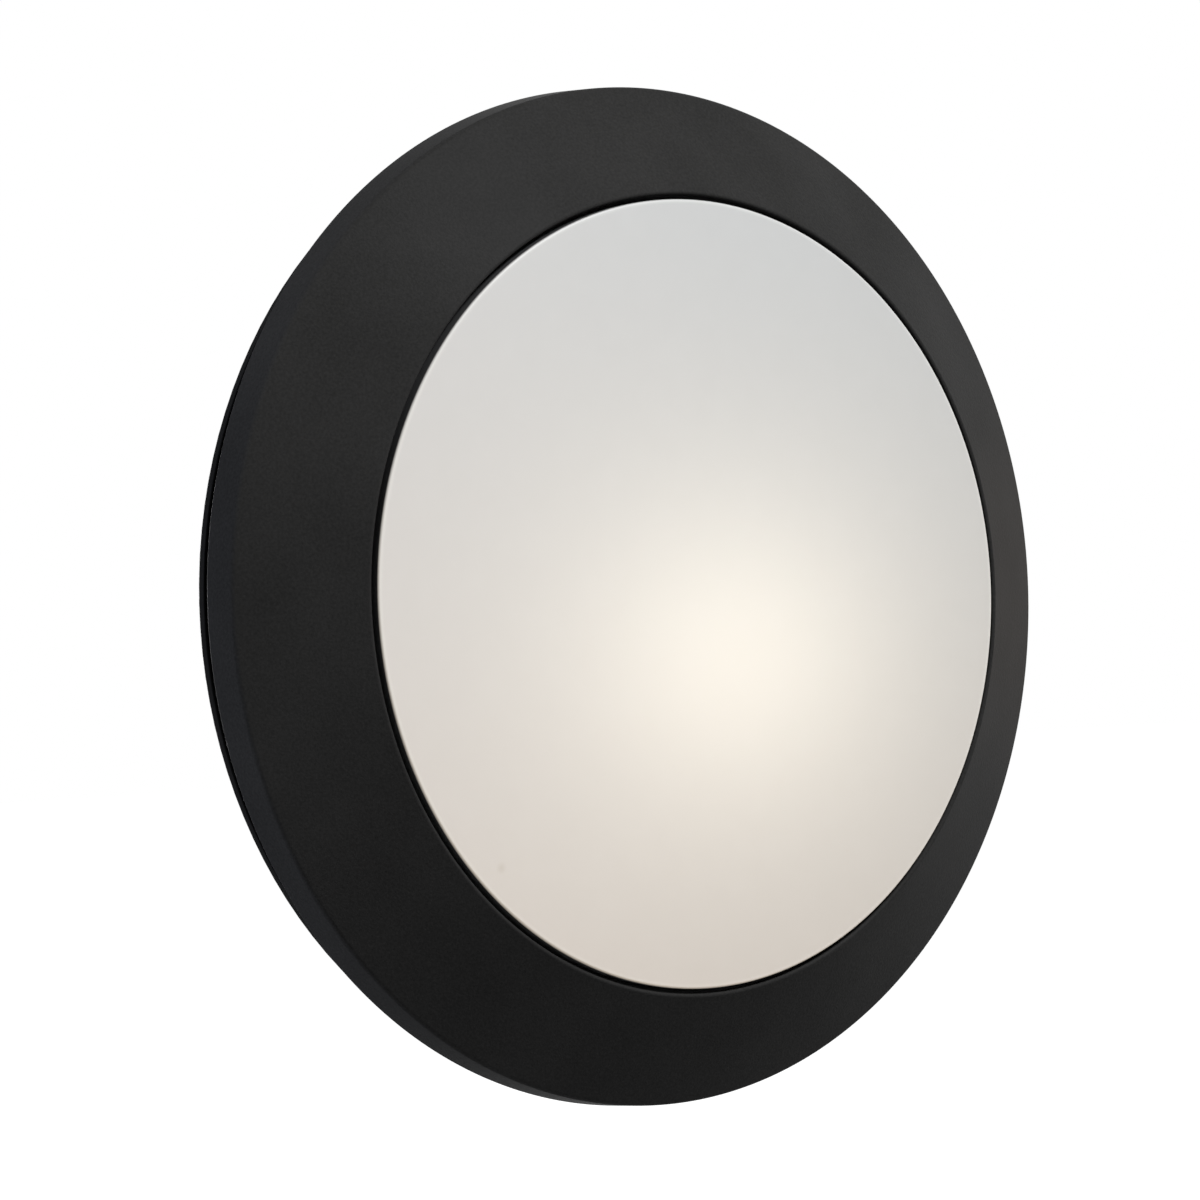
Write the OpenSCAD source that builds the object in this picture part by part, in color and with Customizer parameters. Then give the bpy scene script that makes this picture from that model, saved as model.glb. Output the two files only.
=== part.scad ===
// Round bulkhead light with a turned-on cover: a resin base dish that is screwed to a wall, a lamp
// on a white tray inside it, and a sloping resin bezel that carries an opal diffuser.
// Every piece is drawn lying on its back, with z out of the wall and y up, and is then stood up, so
// the finished light has its back on the plane y = 0, its axis on the origin and its face to -y.

/* [Overall] */
// Depth from the wall to the crown of the diffuser
overall_depth = 96; // [92:1:120]
// How far the lamp axis hangs below the horizontal, in degrees
lamp_turn = 45; // [0:1:90]

/* [Bezel] */
// Outer diameter of the bezel
bezel_d = 300; // [290:1:330]
// Diameter of the window in the bezel
window_d = 232.2; // [200:0.2:234]
// Height of the bezel from its rear edge to its lip
bezel_rise = 32.6; // [28:0.1:36]
// Height of the bezel's side, up to its corner
bezel_side_h = 12; // [10:0.5:14]
// Draft of the bezel's side over that height
bezel_draft = 0.5; // [0:0.1:1]
// Wall of the bezel
bezel_wall = 3; // [2:0.1:3.6]
// Radius of the bezel's outer corner
bezel_corner_r = 2; // [1:0.5:5]
// Radius of the bezel's lip round the window
bezel_lip_r = 0.8; // [0.4:0.1:1.6]

/* [Bayonet] */
// Number of bayonet lugs round the cover
lug_count = 4; // [3:1:6]
// Length of a cover lug round the rim, in degrees
lug_arc = 24; // [14:1:26]
// How far a lug stands out of its wall
lug_reach = 4.5; // [3:0.1:6]
// Thickness of a lug
lug_t = 2.6; // [2:0.1:3]
// Length of the stop at the end of a base lug, in degrees
stop_arc = 4; // [2:0.5:6]

/* [Diffuser] */
// Wall of the diffuser
diffuser_wall = 3; // [2:0.1:4]
// How far the diffuser's edge stands out of the bezel's lip
diffuser_proud = 0.4; // [0.2:0.1:3]
// Rise of the diffuser's crown above its edge
diffuser_crown = 2; // [0.5:0.1:4]
// Radius of the diffuser's front edge
diffuser_edge_r = 0.8; // [0.4:0.1:2]
// Width of the dark groove between the diffuser and the bezel's lip
diffuser_gap = 1.3; // [0.3:0.1:1.6]
// Width of the diffuser's flange, outside its skirt
flange_w = 6.5; // [5:0.1:8]
// Thickness of the diffuser's flange
flange_t = 2.5; // [1.5:0.1:3.5]
// Number of snap hooks that hold the flange
hook_count = 8; // [4:1:16]
// Length of a snap hook round the window, in degrees
hook_arc = 10; // [5:1:16]
// Thickness of a snap hook
hook_t = 2.4; // [1.6:0.1:3]
// How far a hook's nib reaches under the flange
hook_nib = 1.8; // [1:0.1:2.5]

/* [Base] */
// Diameter of the base on the wall
plate_d = 200; // [190:1:220]
// Distance from the bezel's rear edge back to the base rim's rear corner
rim_drop = 12.8; // [10:0.2:18]
// Thickness of the base rim
rim_t = 6; // [5.4:0.1:8]
// How far the rim steps out from the base dish
rim_step = 3; // [1:0.1:4]
// How far the drip lip at the rim's rear corner stands out of the rim
drip_reach = 2.7; // [1:0.1:3.4]
// Thickness of that drip lip
drip_t = 3.2; // [2:0.1:4]
// Wall of the base
base_wall = 3; // [2.4:0.1:4]
// Fillet between the base floor and its side
floor_r = 5; // [1:0.5:8]

/* [Wall fixing] */
// Circle of the wall fixing holes
fix_pcd = 150; // [140:1:160]
// Diameter of a wall fixing hole
fix_hole_d = 5.5; // [4:0.1:6.5]
// Diameter of the boss round a fixing hole
fix_boss_d = 19; // [18:0.5:22]
// Height of that boss above the floor
fix_boss_h = 4; // [3.5:0.1:6]
// Diameter of a sealing washer
washer_d = 14; // [12:0.5:15]
// Thickness of a sealing washer
washer_t = 3; // [2:0.1:4]

/* [Cable entry] */
// Diameter of the cable bore in the grommet
cable_bore_d = 9; // [6:0.5:12]
// Diameter of the hole in the base that takes the grommet
grommet_hole_d = 20; // [18:0.5:22]
// Width of the grommet's flanges
grommet_flange_w = 3; // [2:0.1:4]
// Thickness of the grommet's flanges
grommet_flange_t = 2; // [1.5:0.1:3]
// Thickness of the base wall that the grommet grips
grommet_grip = 4.8; // [3:0.1:6]
// Height of the grommet's nose
grommet_nose_h = 4.5; // [2:0.1:6]

/* [Cover seal] */
// Width of the cover seal
seal_w = 3; // [2:0.1:3.4]
// Depth of the groove in the base rim for the cover seal
seal_groove = 2.5; // [1.5:0.1:4]
// How far the cover seal stands out of its groove
seal_proud = 1.5; // [0.8:0.1:2]
// Thickness of the seal ring round the diffuser
ring_d = 3; // [2:0.1:3.6]

/* [Tray] */
// Height of the tray above the base floor
tray_standoff = 11; // [9:0.5:14]
// Thickness of the tray sheet
tray_t = 1; // [0.6:0.1:1.5]
// Height of the tray's sloping rim
tray_rim_h = 14; // [8:0.5:18]
// Gap between the tray's rim and the base side
tray_gap = 4; // [2:0.5:8]
// Circle of the tray screws
tray_screw_pcd = 160; // [150:1:168]
// Diameter of a tray screw's shank
tray_screw_d = 3.8; // [3:0.1:4.2]
// Length of a tray screw's shank
tray_screw_l = 9; // [7:0.5:9.5]
// Diameter of the boss under a tray screw
tray_boss_d = 10; // [9:0.5:12]

/* [Lamp] */
// Diameter of the lamp's globe
lamp_d = 60; // [50:1:64]
// Length of the lamp from its contact to its tip
lamp_l = 108; // [100:1:114]
// Distance of the globe's centre from the light's axis
globe_reach = 27; // [20:1:34]
// Gap between the lamp and the tray
lamp_tray_gap = 5; // [3:0.5:8]
// Diameter of the lamp's screw cap
cap_d = 26.4; // [26:0.1:27]
// Length of the lamp's cap, contact included
cap_l = 27; // [25:0.5:29]

/* [Lampholder] */
// Outer diameter of the lampholder
holder_d = 40; // [37:0.5:44]
// Wall of the lampholder's skirt and dome
holder_wall = 2.2; // [1.6:0.1:2.8]
// Thickness of the insulator that carries the contacts
insulator_t = 6; // [4:0.5:8]
// Length of the screwed sleeve
sleeve_l = 23; // [18:0.5:25]
// Length of the dome behind the insulator
dome_l = 13; // [11:0.5:18]
// Diameter of the dome's neck
neck_d = 16; // [14:0.5:20]
// Length of the dome's neck
neck_l = 4; // [3:0.5:6]
// Outer diameter of the threaded nipple
nipple_d = 10; // [9:0.1:10]
// Bore of the threaded nipple
nipple_bore_d = 7; // [6:0.1:7.5]
// Length of the nipple behind the bracket
nipple_tail = 10; // [7:0.5:14]
// Width of the lock nut across its flats
nut_af = 14; // [13:0.5:17]
// Thickness of the lock nut
nut_t = 3; // [2:0.1:5]
// Thickness of the bracket sheet
bracket_t = 2; // [1.2:0.1:3]
// Width of the bracket
bracket_w = 32; // [26:1:40]
// Length of the bracket's foot
foot_l = 29; // [24:1:32]

/* [Terminal block] */
// Place of the terminal block along the lamp axis
term_u = -22; // [-26:1:-20]
// Place of the terminal block across the lamp axis
term_v = -58; // [-62:1:-54]
// Distance between the two poles
term_pitch = 11; // [10:0.5:12]
// Length of a pole
term_l = 18; // [16:0.5:20]
// Width of a pole
term_w = 8.6; // [7.6:0.1:9.4]
// Height of a pole's barrel
term_h = 11; // [10:0.5:13]
// Height of the screw towers
tower_h = 15; // [14:0.5:18]
// Distance of a screw tower from the middle of its pole
tower_off = 4.6; // [4.2:0.1:5]
// Outer diameter of a brass clamp tube
clamp_d = 5.2; // [4.4:0.1:5.6]
// Bore of a brass clamp tube
clamp_bore_d = 3.4; // [2.6:0.1:3.6]
// Diameter of a terminal screw's head
term_head_d = 3.8; // [3.4:0.1:4.4]
// Diameter of a terminal screw's shank
term_shank_d = 2.6; // [2:0.1:2.8]
// Diameter of the insulated wire
wire_d = 2.4; // [1.6:0.1:2.6]

/* [Hidden] */
$fn = 96;

// Clearances
fit_gap = 0.1;
slide_gap = 0.4;
bayonet_gap = 0.8;
seal_touch = 0.2;
over = 0.5;

// Bezel: the sloping face runs from its corner to its lip, and its underside is parallel to it
bezel_r = bezel_d / 2;
window_r = window_d / 2;
edge_z = overall_depth - diffuser_crown;
lip_z = edge_z - diffuser_proud;
back_z = lip_z - bezel_rise;
corner_r = bezel_r - bezel_draft;
corner_z = back_z + bezel_side_h;
side_r = bezel_r - bezel_wall;
slope = atan2(lip_z - corner_z, corner_r - window_r);
function face_z(r) = corner_z + (corner_r - r) * tan(slope);
function under_z(r) = face_z(r) - bezel_wall / cos(slope);

// Bayonet: the base lugs lie just under the bezel's inner corner, the cover lugs behind them
rim_top_z = under_z(side_r) - bayonet_gap;
base_lug_z = rim_top_z - lug_t;
cover_lug_z = base_lug_z - slide_gap - lug_t;
cover_lug_r = side_r - lug_reach;
base_lug_r = side_r - bayonet_gap;
rim_r = cover_lug_r - bayonet_gap;
lug_pitch = 360 / lug_count;
stop_gap = 0.5;

// Base dish
plate_r = plate_d / 2;
rim_in_r = rim_r - rim_t;
rim_back_z = back_z - rim_drop;
drip_r = rim_r + drip_reach;
drip_top_z = rim_back_z + drip_t;
dish_r = rim_r - rim_step;
flare = atan2(dish_r - plate_r, rim_back_z);
function dish_in_r(z) = plate_r + z * tan(flare) - base_wall / cos(flare);
dish_top_z = (rim_in_r - plate_r + base_wall / cos(flare)) / tan(flare);
plate_edge_r = 2;
rim_edge_r = 1;
drip_edge_r = 0.5;

// Cover seal in the rim's groove, and the bezel's rib that presses on it
seal_r = rim_r - rim_t / 2;
seal_low_z = rim_top_z - seal_groove;
seal_top_z = rim_top_z + seal_proud;
rib_w = seal_w - 1;

// Diffuser: a shallow hat with a flange, and a round seal ring in the corner above the flange
diff_r = window_r - diffuser_gap;
diff_in_r = diff_r - diffuser_wall;
flange_r = diff_r + flange_w;
ring_r = diff_r + fit_gap + ring_d / 2;
ring_z = under_z(ring_r) - (ring_d / 2 + fit_gap) / cos(slope);
flange_z = ring_z - ring_d / 2 - fit_gap;
flange_low_z = flange_z - flange_t;
hook_r = flange_r + slide_gap;
nib_z = flange_low_z - seal_touch;
nib_h = 2.4;
crown_steps = 10;
function crown_z(r) = edge_z + diffuser_crown * (1 - pow(r / diff_r, 2));

// Three wall fixings, with the tray's screws between them, and the cable entry on the light's axis
fix_count = 3;
fix_turn = 30;
fix_seat_depth = 2;
fix_seat_z = base_wall + fix_boss_h - fix_seat_depth;
washer_gap = 0.2;
entry_seat_z = grommet_flange_t + seal_touch;
entry_top_z = entry_seat_z + grommet_grip;
entry_hole_r = grommet_hole_d / 2;
entry_flange_r = entry_hole_r + grommet_flange_w;
entry_boss_r = entry_flange_r + 2.4;

// Tray on its bosses
tray_z = base_wall + tray_standoff;
tray_top_z = tray_z + tray_t;
function tray_r(z) = dish_in_r(z) - tray_gap / cos(flare);
tray_boss_count = fix_count;
tray_screw_turn = fix_turn + 180 / fix_count;
tray_head_d = 7.6;
tray_head_h = 2.6;
access_d = 17;

// Lamp and lampholder: s runs along the lamp axis from the lamp's centre contact to its tip
globe_r = lamp_d / 2;
lamp_z = tray_top_z + lamp_tray_gap + globe_r;
contact_u = globe_reach + globe_r - lamp_l;
globe_s = lamp_l - globe_r;
cap_r = cap_d / 2;
neck_glass_r = cap_r + 1.8;
neck_glass_l = 4;
neck_blend_r = 22;
contact_r = 4.8;
contact_l = 2;
shell_s = 8;
shell_taper = 2;
globe_join = 120;
holder_r = holder_d / 2;
holder_in_r = holder_r - holder_wall;
sleeve_gap = 0.3;
sleeve_t = 0.6;
sleeve_r = cap_r + sleeve_gap;
contact_t = 0.5;
contact_h = 2.8;
contact_w = 6;
insulator_s = -contact_h - seal_touch;
insulator_back_s = insulator_s - insulator_t;
joint_s = insulator_s - 1;
skirt_front_s = cap_l - 2;
dome_back_s = insulator_back_s - dome_l;
bracket_s = dome_back_s - bracket_t;
nipple_r = nipple_d / 2;
nipple_back_s = bracket_s - nipple_tail;
nipple_front_s = dome_back_s + neck_l + holder_wall + 2;
rivet_u = contact_u + bracket_s + foot_l * 0.6;
rivet_edge = 7;
rivet_v = bracket_w / 2 - rivet_edge;
rivet_d = 4;
rivet_head_d = 7;
rivet_head_h = 1.4;

// Terminal block
term_bore_z = term_h / 2 + 0.6;
tower_r = term_w / 2 - 0.4;
web_l = 7;
web_h = 6;
block_screw_d = 2.2;
block_head_d = term_pitch - clamp_d - 4 * slide_gap;
block_head_h = 1.8;
clamp_l = term_l - 3;

// Wires: from the block's face in a loop to the nipple, then through it to the insulator
wire_r = wire_d / 2;
wire_sides = 8;
wire_rings = 22;
wire_side = 1.1 * wire_r;
wire_out = 50;
wire_in = 28;
wire_spread = 8;
wire_start_u = term_u - term_l / 2 - seal_touch;
wire_end_u = contact_u + insulator_back_s - seal_touch;
nipple_back_u = contact_u + nipple_back_s;

resin = "#1b1b1c";
opal = "#f1ede2";
rubber = "#232323";
white_paint = "#f2f2ee";
zinc = "#b9bcc0";
brass = "#c9a24a";
steatite = "#e6e1d5";
holder_white = "#e9e8e2";

// A closed path whose corners [x, y, radius] are rounded, a radius being limited by its sides
function unit(v) = v / norm(v);
function corner_arc(a, b, c, r, steps) =
  let (
    p = [b[0], b[1]],
    u = unit([a[0], a[1]] - p),
    v = unit([c[0], c[1]] - p),
    half = acos(max(-1, min(1, u * v))) / 2,
    room = 0.49 * min(norm([a[0], a[1]] - p), norm([c[0], c[1]] - p)),
    t = min(r / tan(half), room),
    rr = t * tan(half),
    m = p + unit(u + v) * (t / cos(half)),
    d0 = p + u * t - m,
    d1 = p + v * t - m,
    a0 = atan2(d0[1], d0[0]),
    turn = atan2(d0[0] * d1[1] - d0[1] * d1[0], d0 * d1)
  )
  [for (i = [0 : steps]) m + rr * [cos(a0 + turn * i / steps), sin(a0 + turn * i / steps)]];
function rounded(path, steps = 6) =
  let (n = len(path))
  [
    for (i = [0 : n - 1])
      let (b = path[i])
      each (b[2] > 0
        ? corner_arc(path[(i + n - 1) % n], b, path[(i + 1) % n], b[2], steps)
        : [[b[0], b[1]]])
  ];

// Frames: the light stood up on its wall, the lamp frame with u along the lamp axis, the lamp axis
module stand() {
  rotate([90, 0, 0]) children();
}
module lamp_frame() {
  stand() rotate([0, 0, -lamp_turn]) children();
}
module lamp_axis() {
  lamp_frame() translate([contact_u, 0, lamp_z]) rotate([0, 90, 0]) children();
}
module on_circle(d, count, turn) {
  for (i = [0 : count - 1]) rotate([0, 0, turn + i * 360 / count]) translate([d / 2, 0, 0]) children();
}

// A solid of revolution, and a stretch of one from angle a0 over a span
module turned(path) {
  rotate_extrude() polygon(rounded(path));
}
module turned_part(path, a0, span) {
  rotate([0, 0, a0]) rotate_extrude(angle = span) polygon(rounded(path));
}
module ring(r0, r1, z0, z1) {
  difference() {
    translate([0, 0, z0]) cylinder(r = r1, h = z1 - z0);
    translate([0, 0, z0 - over]) cylinder(r = r0, h = z1 - z0 + 2 * over);
  }
}

// Base: a flared dish with a drip lip and a thick rim that carries the seal groove and the bayonet lugs
module base_dish() {
  turned([
    [0, 0, 0],
    [plate_r, 0, plate_edge_r],
    [dish_r, rim_back_z, 0],
    [drip_r, rim_back_z, rim_edge_r],
    [drip_r, drip_top_z, drip_edge_r],
    [rim_r, drip_top_z, 0],
    [rim_r, rim_top_z, 0],
    [seal_r + seal_w / 2, rim_top_z, 0],
    [seal_r + seal_w / 2, seal_low_z, 0],
    [seal_r - seal_w / 2, seal_low_z, 0],
    [seal_r - seal_w / 2, rim_top_z, 0],
    [rim_in_r, rim_top_z, 0],
    [rim_in_r, dish_top_z, 0],
    [dish_in_r(base_wall), base_wall, floor_r],
    [0, base_wall, 0]
  ]);
}

module base_lugs() {
  lug = [
    [rim_r - over, base_lug_z, 0],
    [base_lug_r, base_lug_z, 0],
    [base_lug_r, rim_top_z, 0.8],
    [rim_r - over, rim_top_z, 0]
  ];
  stop = [
    [rim_r - over, cover_lug_z, 0],
    [base_lug_r, cover_lug_z, 0],
    [base_lug_r, base_lug_z + over, 0],
    [rim_r - over, base_lug_z + over, 0]
  ];
  for (i = [0 : lug_count - 1]) {
    low = i * lug_pitch - lug_arc / 2 - stop_gap - stop_arc;
    turned_part(lug, low, lug_arc + stop_gap + stop_arc);
    turned_part(stop, low, stop_arc);
  }
}

module base() {
  color(resin) difference() {
    union() {
      stand() base_dish();
      stand() base_lugs();
      lamp_frame() on_circle(fix_pcd, fix_count, fix_turn)
        cylinder(d = fix_boss_d, h = base_wall + fix_boss_h);
      lamp_frame() on_circle(tray_screw_pcd, tray_boss_count, tray_screw_turn)
        cylinder(d = tray_boss_d, h = tray_z);
      stand() cylinder(r = entry_boss_r, h = entry_top_z);
    }
    lamp_frame() on_circle(fix_pcd, fix_count, fix_turn) {
      translate([0, 0, -over]) cylinder(d = fix_hole_d, h = base_wall + fix_boss_h + 2 * over);
      translate([0, 0, fix_seat_z]) cylinder(d = washer_d + 2 * washer_gap, h = fix_boss_h + base_wall);
    }
    lamp_frame() on_circle(tray_screw_pcd, tray_boss_count, tray_screw_turn)
      translate([0, 0, tray_top_z - tray_screw_l - over])
        cylinder(d = tray_screw_d + 2 * fit_gap, h = tray_screw_l + over);
    stand() translate([0, 0, -over]) {
      cylinder(r = entry_hole_r, h = entry_top_z + 2 * over);
      cylinder(r = entry_flange_r + seal_touch, h = entry_seat_z + over);
    }
  }
}

module cable_grommet() {
  bore_r = cable_bore_d / 2;
  neck_r = entry_hole_r - fit_gap;
  nose_z = entry_top_z + grommet_flange_t + grommet_nose_h;
  color(rubber) stand() turned([
    [bore_r, seal_touch, 0],
    [entry_flange_r, seal_touch, 0.6],
    [entry_flange_r, entry_seat_z, 0],
    [neck_r, entry_seat_z, 0],
    [neck_r, entry_top_z, 0],
    [entry_flange_r, entry_top_z, 0],
    [entry_flange_r, entry_top_z + grommet_flange_t, 0.8],
    [bore_r + 3.2, entry_top_z + grommet_flange_t, 1],
    [bore_r + 1.8, nose_z, 0.8],
    [bore_r, nose_z, 0]
  ]);
}

module fixing_washers() {
  color(rubber) lamp_frame() on_circle(fix_pcd, fix_count, fix_turn)
    ring(fix_hole_d / 2, washer_d / 2, fix_seat_z, fix_seat_z + washer_t);
}

module cover_seal() {
  color(rubber) stand() turned([
    [seal_r - seal_w / 2 + fit_gap, seal_low_z, 0],
    [seal_r + seal_w / 2 - fit_gap, seal_low_z, 0],
    [seal_r + seal_w / 2 - fit_gap, seal_top_z, 0.8],
    [seal_r - seal_w / 2 + fit_gap, seal_top_z, 0.8]
  ]);
}

// Tray: a white sheet dish on the base's bosses, open over each wall fixing and the cable entry
module tray() {
  rim_z = tray_z + tray_rim_h;
  color(white_paint) lamp_frame() difference() {
    turned([
      [0, tray_z, 0],
      [tray_r(tray_z), tray_z, 3],
      [tray_r(rim_z), rim_z, 0],
      [tray_r(rim_z) - tray_t / cos(flare), rim_z, 0],
      [tray_r(tray_top_z) - tray_t / cos(flare), tray_top_z, 3],
      [0, tray_top_z, 0]
    ]);
    translate([0, 0, tray_z - over]) {
      on_circle(fix_pcd, fix_count, fix_turn) cylinder(d = access_d, h = tray_t + 2 * over);
      on_circle(tray_screw_pcd, tray_boss_count, tray_screw_turn)
        cylinder(d = tray_screw_d + 2 * slide_gap, h = tray_t + 2 * over);
      cylinder(r = entry_hole_r, h = tray_t + 2 * over);
      translate([term_u, term_v, 0]) cylinder(d = block_screw_d + 2 * fit_gap, h = tray_t + 2 * over);
      for (k = [-1, 1])
        translate([rivet_u, k * rivet_v, 0]) cylinder(d = rivet_d + 2 * fit_gap, h = tray_t + 2 * over);
    }
  }
}

module tray_screws() {
  color(zinc) lamp_frame() on_circle(tray_screw_pcd, tray_boss_count, tray_screw_turn) {
    translate([0, 0, tray_top_z - tray_screw_l]) cylinder(d = tray_screw_d, h = tray_screw_l + over);
    translate([0, 0, tray_top_z]) turned([
      [0, 0, 0],
      [tray_head_d / 2, 0, 0],
      [tray_head_d / 2, tray_head_h, 1.6],
      [0, tray_head_h, 0]
    ]);
  }
}

// Bracket: one folded strip, its foot riveted to the tray and its upright drilled for the nipple
module holder_bracket() {
  upright_h = lamp_z - tray_top_z;
  fold_r = 1;
  color(zinc) lamp_frame() translate([contact_u + bracket_s, 0, tray_top_z]) difference() {
    intersection() {
      rotate([90, 0, 0]) translate([0, 0, -bracket_w / 2]) linear_extrude(bracket_w) polygon(rounded([
        [0, 0, fold_r + bracket_t],
        [foot_l, 0, 0],
        [foot_l, bracket_t, 0],
        [bracket_t, bracket_t, fold_r],
        [bracket_t, upright_h + bracket_w / 2, 0],
        [0, upright_h + bracket_w / 2, 0]
      ]));
      rotate([90, 0, 90]) linear_extrude(foot_l) union() {
        translate([-bracket_w / 2, 0]) square([bracket_w, upright_h]);
        translate([0, upright_h]) circle(d = bracket_w);
      }
    }
    translate([-over, 0, upright_h]) rotate([0, 90, 0])
      cylinder(r = nipple_r + fit_gap, h = bracket_t + 2 * over);
    for (k = [-1, 1])
      translate([rivet_u - contact_u - bracket_s, k * rivet_v, -over])
        cylinder(d = rivet_d + 2 * fit_gap, h = bracket_t + 2 * over);
  }
}

module bracket_rivets() {
  color(zinc) lamp_frame() for (k = [-1, 1]) translate([rivet_u, k * rivet_v, 0]) {
    translate([0, 0, tray_z - over]) cylinder(d = rivet_d, h = tray_t + bracket_t + 2 * over);
    translate([0, 0, tray_top_z + bracket_t]) turned([
      [0, 0, 0],
      [rivet_head_d / 2, 0, 0],
      [rivet_head_d / 2, rivet_head_h, 1.2],
      [0, rivet_head_h, 0]
    ]);
    translate([0, 0, tray_z - rivet_head_h]) cylinder(d = rivet_head_d - 1, h = rivet_head_h);
  }
}

module holder_nipple() {
  color(zinc) lamp_axis() ring(nipple_bore_d / 2, nipple_r, nipple_back_s, nipple_front_s);
}

module holder_lock_nut() {
  color(zinc) lamp_axis() translate([0, 0, bracket_s - nut_t]) difference() {
    rotate([0, 0, 30]) cylinder(d = nut_af / cos(30), h = nut_t, $fn = 6);
    translate([0, 0, -over]) cylinder(r = nipple_r + fit_gap, h = nut_t + 2 * over);
  }
}

// Lampholder: a dome on the nipple, an insulator with the contacts, and a skirt round the sleeve
module holder_dome() {
  neck_r = neck_d / 2;
  shoulder_s = dome_back_s + neck_l;
  color(holder_white) lamp_axis() turned([
    [nipple_r + fit_gap, dome_back_s, 0],
    [neck_r, dome_back_s, 0.6],
    [neck_r, shoulder_s, 2],
    [holder_r, shoulder_s, 6],
    [holder_r, joint_s, 0],
    [holder_in_r, joint_s, 0],
    [holder_in_r, insulator_back_s, 0],
    [holder_in_r - 1.5, insulator_back_s, 0],
    [holder_in_r - 1.5, shoulder_s + holder_wall, 4],
    [nipple_r + fit_gap, shoulder_s + holder_wall, 0]
  ]);
}

module holder_insulator() {
  color(steatite) lamp_axis() turned([
    [0, insulator_back_s, 0],
    [holder_in_r - fit_gap, insulator_back_s, 0],
    [holder_in_r - fit_gap, insulator_s, 0],
    [0, insulator_s, 0]
  ]);
}

module holder_sleeve() {
  foot_r = holder_in_r - 1;
  color(brass) lamp_axis() turned([
    [sleeve_r, insulator_s, 0],
    [foot_r, insulator_s, 0],
    [foot_r, insulator_s + sleeve_t, 0],
    [sleeve_r + sleeve_t, insulator_s + sleeve_t, 0.5],
    [sleeve_r + sleeve_t, insulator_s + sleeve_l, 0],
    [sleeve_r, insulator_s + sleeve_l, 0]
  ]);
}

// Centre contact: a leaf folded back on itself, under the lamp's contact
module holder_contact() {
  leaf_l = 8;
  bend_r = contact_h / 2;
  color(brass) lamp_axis() translate([0, contact_w / 2, insulator_s + bend_r]) rotate([90, 0, 0])
    linear_extrude(contact_w) {
      difference() {
        circle(r = bend_r, $fn = 48);
        circle(r = bend_r - contact_t, $fn = 48);
        translate([0, -contact_h]) square([contact_h, 2 * contact_h]);
      }
      translate([0, -bend_r]) square([leaf_l, contact_t]);
      translate([0, bend_r - contact_t]) square([leaf_l / 2, contact_t]);
    }
}

module holder_skirt() {
  lip_r = sleeve_r + sleeve_t + slide_gap;
  color(holder_white) lamp_axis() turned([
    [holder_in_r, joint_s, 0],
    [holder_r, joint_s, 0],
    [holder_r, skirt_front_s, 1.5],
    [lip_r, skirt_front_s, 0.8],
    [lip_r, skirt_front_s - holder_wall, 0],
    [holder_in_r, skirt_front_s - holder_wall - 2, 0]
  ]);
}

// Lamp: a sealed globe lamp with its screw cap, as one solid
module lamp() {
  join_s = globe_s + globe_r * cos(globe_join);
  join_r = globe_r * sin(globe_join);
  neck_s = join_s - (join_r - neck_glass_r) * tan(globe_join - 90) * 3;
  color(white_paint) lamp_axis() rotate_extrude() polygon(rounded(concat(
    [
      [0, 0, 0],
      [contact_r, 0, 0.6],
      [contact_r, contact_l, 0],
      [cap_r - shell_taper, shell_s - shell_taper, 0],
      [cap_r, shell_s, 0.8],
      [cap_r, cap_l, 0],
      [neck_glass_r, cap_l, 0.5],
      [neck_glass_r, max(neck_s, cap_l + neck_glass_l), neck_blend_r]
    ],
    [for (i = [0 : 14]) let (a = globe_join * (1 - i / 14))
      [globe_r * sin(a), globe_s + globe_r * cos(a), 0]]
  )));
}

// Terminal block: two moulded barrels with screw towers, joined by a web with a fixing hole
module terminal_block() {
  color(steatite) lamp_frame() translate([term_u, term_v, tray_top_z]) difference() {
    union() {
      for (k = [-1, 1]) translate([0, k * term_pitch / 2, 0]) {
        translate([-term_l / 2, -term_w / 2, 0]) cube([term_l, term_w, term_h]);
        for (m = [-1, 1]) translate([m * tower_off, 0, 0]) cylinder(r = tower_r, h = tower_h);
      }
      translate([-web_l / 2, -term_pitch / 2, 0]) cube([web_l, term_pitch, web_h]);
    }
    for (k = [-1, 1]) translate([0, k * term_pitch / 2, 0]) {
      translate([-term_l / 2 - over, 0, term_bore_z]) rotate([0, 90, 0])
        cylinder(d = clamp_d + 2 * fit_gap, h = term_l + 2 * over);
      for (m = [-1, 1]) translate([m * tower_off, 0, term_bore_z])
        cylinder(d = term_head_d + 2 * fit_gap, h = tower_h);
    }
    translate([0, 0, -over]) cylinder(d = block_screw_d + 2 * slide_gap, h = web_h + 2 * over);
    translate([0, 0, web_h]) cylinder(d = block_head_d + 2 * fit_gap, h = tower_h);
  }
}

module terminal_clamps() {
  color(brass) lamp_frame() translate([term_u, term_v, tray_top_z + term_bore_z])
    for (k = [-1, 1]) translate([0, k * term_pitch / 2, 0]) difference() {
      translate([-clamp_l / 2, 0, 0]) rotate([0, 90, 0]) cylinder(d = clamp_d, h = clamp_l);
      translate([-clamp_l / 2 - over, 0, 0]) rotate([0, 90, 0])
        cylinder(d = clamp_bore_d, h = clamp_l + 2 * over);
      for (m = [-1, 1]) translate([m * tower_off, 0, 0])
        cylinder(d = term_shank_d + 2 * fit_gap, h = clamp_d);
    }
}

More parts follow.
